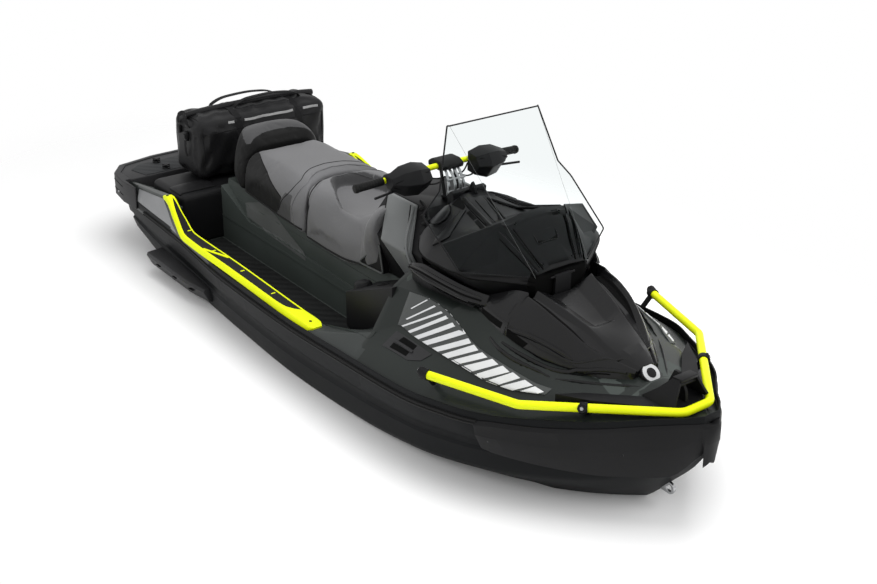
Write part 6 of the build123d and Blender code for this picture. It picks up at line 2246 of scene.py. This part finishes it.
@dataclass
class BowRail:
    """The yellow bow rail with its clamps, caps and bracket."""

    clamp_reach: float = 0.024

    def build(self) -> None:
        """Build and dress the rail, its clamps and the bow bracket."""
        dress(refined("bow_rail", "bow_rail_tube", 0.0, 30), YELLOW_COAT, "craft",
              ["bow_rail"])
        dress(refined("rail_clamps", "rail_clamp_mouldings", 0.004, 25, 3), BLACK_MOULDING, "craft",
              ["rail_clamps"])
        self.caps()
        self.bracket()

    def caps(self) -> None:
        """Build the round cap and the bolt on each rail clamp."""
        knobs, bolts = [], []
        for side in BOTH:
            for spot, out in (((0.955, 0.587, 0.436), (-0.9, 0.3, 0.25)),
                              ((1.488, 0.305, 0.448), (0.55, 0.7, 0.35))):
                base = Vector((spot[0], side * spot[1], spot[2]))
                way = Vector((out[0], side * out[1], out[2])).normalized()
                knobs.append(rod("clamp_knob", base - way * 0.006, base + way * self.clamp_reach, 0.0185,
                                 0.0165, 24, 0.004))
                bolts.append(bolt(base + way * self.clamp_reach, way, 0.008, 0.003))
        dress(joined("clamp_knobs", knobs), BLACK_MOULDING, "craft")
        dress(joined("clamp_bolts", bolts), STEEL, "craft")

    def bracket(self) -> None:
        """Build the bow bracket with its webs, bridge and pin."""
        bracket = refined("bow_bracket", "bow_bracket_moulding", 0.005, 25, 3)
        dress(bracket, BLACK_MOULDING, "craft", ["bow_bracket"])
        webs = []
        for side in BOTH:
            outline = [(1.56, 0.462), (1.612, 0.508), (1.65, 0.552), (1.684, 0.556), (1.7, 0.5),
                       (1.712, 0.462)]
            webs.append(loft("bracket_web", [[(x, side * (reach + (0.56 - z) * 0.55), z) for x, z in outline]
                                             for reach in (0.03, 0.042)]))
        webs.append(loft("bracket_bridge",
                         [[(1.648, y, 0.545), (1.69, y, 0.549), (1.69, y, 0.562), (1.648, y, 0.558)]
                          for y in (-0.042, 0.042)]))
        webs.append(rod("bracket_pin", (1.668, -0.052, 0.53), (1.668, 0.052, 0.53), 0.01, sides=20,
                        bevel=0.002))
        dress(eased(joined("bracket_webs", webs), 0.0025, 2, 30), BLACK_MOULDING, "craft")


@dataclass
class Stern:
    """The rear platform, its bumper, mat and cargo locks."""

    line: float = 0.002

    def build(self) -> None:
        """Build and dress the stern pieces."""
        dress(refined("rear_platform", "platform_moulding", 0.005, 28, 3), GREY_MOULDING, "craft",
              ["rear_platform"])
        bumper = dress(refined("rear_bumper", "stern_bumper", 0.012, 25, 4), GREY_MOULDING, "craft",
                       ["rear_bumper"])
        dress(refined("rear_mat", "stern_mat", 0.001, 30), STERN_FOAM, "craft", ["rear_mat"])
        dress(refined("deck_locks", "cargo_lock_bodies", 0.003, 25, 3), BLACK_MOULDING, "craft",
              ["deck_locks"])
        self.lock_wings()
        self.bumper_details(Surface([bumper]))

    def lock_wings(self) -> None:
        """Build the cross-shaped turning wings on the cargo locks."""
        wings = []
        for x in (-1.751, -1.641):
            for side in BOTH:
                for turn in (20, 110):
                    way = Vector((math.cos(math.radians(turn)), math.sin(math.radians(turn)), 0)) * 0.024
                    spot = Vector((x, side * 0.3, 0.39))
                    wings.append(rod("lock_wing", spot - way, spot + way, 0.005, sides=12, bevel=0.002))
        dress(joined("cargo_lock_wings", wings), BLACK_MOULDING, "craft")

    def bumper_details(self, surface: Surface) -> None:
        """Build the lines round the bumper, its side joints and its screws.

        Args:
            surface: the bumper.
        """
        lines = []
        for z in (0.3, 0.345):
            plan = [(-1.601, 0.62), (-1.731, 0.6), (-1.821, 0.53), (-1.863, 0.275), (-1.871, 0.06),
                    (-1.871, -0.06), (-1.863, -0.275), (-1.821, -0.53), (-1.731, -0.6), (-1.601, -0.62)]
            path = pressed(surface, [(x, y, z) for x, y in plan], 0.0002, 70)
            lines.append(tube("bumper_line", path, self.line, sides=2))
        for side in BOTH:
            path = [surface.hit((-1.775, side * 0.7, z), (0, -side, 0), 0.0005) for z in steps(0.27, 0.37, 5)]
            lines.append(tube("bumper_joint", path, self.line, sides=2))
        dress(joined("bumper_lines", lines), GAP_AND_PAINTED_SHADE, "craft")
        screws = [bolt(surface.hit((-1.66, side * 0.8, 0.3), (0, -side, 0), 0.001), (0, side, 0), 0.007,
                       0.003)
                  for side in BOTH]
        dress(joined("stern_screws", screws), STEEL, "craft")


@dataclass
class Carried:
    """Frame nodes whose own shape is right, with their edges rounded."""

    def build(self) -> None:
        """Refine and dress each carried shape."""
        rows = {
            "craft": [("engine", ENGINE_METAL, "engine_grey"), ("pump_housing", ALUMINIUM, "aluminium"),
                      ("ride_plate", ALUMINIUM, "aluminium"), ("intake_grate", ALUMINIUM, "aluminium")],
            "jet_nozzle": [("steering_nozzle", ALUMINIUM, "aluminium")],
            "bucket": [("reverse_bucket", BLACK_MOULDING, "black_plastic")],
            "drive": [("impeller", STEEL, "steel")],
        }
        for body, pieces in rows.items():
            for node, finish, slot in pieces:
                dress(refined(node, f"{node}_shape", 0.002, 30), finish, body, [node])


# ---------------------------------------------------------- light and camera


@dataclass
class Studio:
    """The pale floor, the soft light and the camera."""

    eye: Triple = (4.27347, -3.11503, 2.7557)
    turn: Triple = (64.4272, -1.0769, 52.386)
    lens: float = 54.075
    shift: Pair = (-0.00462, 0.00038)
    floor_colour: str = "#f6f6f6"
    shadow: Pair = (2.6, 1.5)
    lamp_watts: float = 170.0
    sky: float = 0.62

    def camera(self) -> None:
        """Place the camera."""
        data = bpy.data.cameras.new("view")
        data.lens, data.sensor_width = self.lens, 36.0
        data.shift_x, data.shift_y = self.shift
        data.clip_end = 200.0
        obj = bpy.data.objects.new("view", data)
        obj.location = self.eye
        obj.rotation_euler = Euler([math.radians(a) for a in self.turn], "XYZ")
        bpy.context.scene.collection.objects.link(obj)
        bpy.context.scene.camera = obj

    def floor(self) -> None:
        """Make the plain pale floor at the waterline."""
        bpy.ops.object.select_all(action="DESELECT")
        bpy.ops.mesh.primitive_plane_add(size=60, location=(0, 0, 0))
        ground = settle(bpy.context.object)
        ground.name = "studio_floor"
        material = bpy.data.materials.new("white studio floor")
        material.use_nodes = True
        tree = material.node_tree
        shader = tree.nodes["Principled BSDF"]
        shader.inputs["Base Color"].default_value = linear(self.floor_colour)
        shader.inputs["Roughness"].default_value = 0.9
        shader.inputs["Specular IOR Level"].default_value = 0.0
        # The floor gives way to the white world a short way from the craft, and keeps its shadow near it.
        place = add_node(tree, "ShaderNodeTexCoord").outputs["Object"]
        squeezed = add_node(tree, "ShaderNodeMapping", {"Scale": (1 / self.shadow[0], 1 / self.shadow[1], 0)},
                            {"Vector": place})
        far = add_node(tree, "ShaderNodeVectorMath", {"operation": "LENGTH"}, {0: squeezed.outputs[0]})
        fade = add_node(tree, "ShaderNodeMapRange", {"interpolation_type": "SMOOTHSTEP", "From Min": 0.9,
                                                     "From Max": 1.5}, {"Value": far.outputs["Value"]})
        path = add_node(tree, "ShaderNodeLightPath")
        seen = add_node(tree, "ShaderNodeMath", {"operation": "MAXIMUM"},
                        {0: path.outputs["Is Camera Ray"], 1: path.outputs["Is Transmission Ray"]})
        share = add_node(tree, "ShaderNodeMath", {"operation": "MULTIPLY"},
                         {0: seen.outputs[0], 1: fade.outputs[0]})
        through = add_node(tree, "ShaderNodeBsdfTransparent")
        mixed = add_node(tree, "ShaderNodeMixShader", None,
                         {0: share.outputs[0], 1: shader.outputs[0], 2: through.outputs[0]})
        tree.links.new(mixed.outputs[0], tree.nodes["Material Output"].inputs["Surface"])
        ground.data.materials.append(material)

    def lights(self) -> None:
        """Make the world and the soft lamps."""
        world = bpy.data.worlds.new("studio")
        bpy.context.scene.world = world
        world.use_nodes = True
        tree = world.node_tree
        tree.nodes.clear()
        path = add_node(tree, "ShaderNodeLightPath")
        seen = add_node(tree, "ShaderNodeMath", {"operation": "MAXIMUM"},
                        {0: path.outputs["Is Camera Ray"], 1: path.outputs["Is Transmission Ray"]})
        seen = add_node(tree, "ShaderNodeMath", {"operation": "MAXIMUM"},
                        {0: seen.outputs[0], 1: path.outputs["Is Glossy Ray"]})
        dim = add_node(tree, "ShaderNodeBackground", {"Color": (1, 1, 1, 1), "Strength": self.sky})
        plain = add_node(tree, "ShaderNodeBackground", {"Color": (1, 1, 1, 1), "Strength": 1.0})
        mixed = add_node(tree, "ShaderNodeMixShader", None,
                         {0: seen.outputs[0], 1: dim.outputs[0], 2: plain.outputs[0]})
        add_node(tree, "ShaderNodeOutputWorld", None, {"Surface": mixed.outputs[0]})
        for title, place, size, watts in (("overhead", (0.3, 0.4, 4.2), 4.0, self.lamp_watts),
                                          ("ahead", (4.5, 1.5, 3.0), 2.5, self.lamp_watts * 0.5),
                                          ("starboard", (0.5, -5.0, 3.2), 3.0, self.lamp_watts * 0.4)):
            data = bpy.data.lights.new(title, "AREA")
            data.energy, data.size = watts, size
            lamp = bpy.data.objects.new(title, data)
            lamp.location = place
            lamp.rotation_euler = (Vector((0, 0, 0.3)) - Vector(place)).to_track_quat("-Z", "Y").to_euler()
            lamp.visible_glossy = False
            lamp.visible_transmission = False
            bpy.context.scene.collection.objects.link(lamp)
        bpy.context.scene.view_settings.view_transform = "Standard"

    def build(self) -> None:
        """Build the floor, the light and the camera."""
        self.camera()
        self.floor()
        self.lights()


ASSEMBLIES = (Hull, Deck, Hood, Lid, Console, Seats, Bag, Steering, BowRail, Stern, Carried)


def main() -> None:
    """Build every sub-assembly in order and report its pieces."""
    logging.basicConfig(level=logging.INFO, format="%(name)s: %(message)s")
    studio = Studio()
    studio.build()
    for assembly in ASSEMBLIES:
        before = set(bpy.data.objects)
        assembly().build()
        for piece in sorted(o.name for o in bpy.data.objects if o not in before):
            LOG.info("%s built %s", assembly.__name__, piece)


if __name__ == "__main__":
    main()
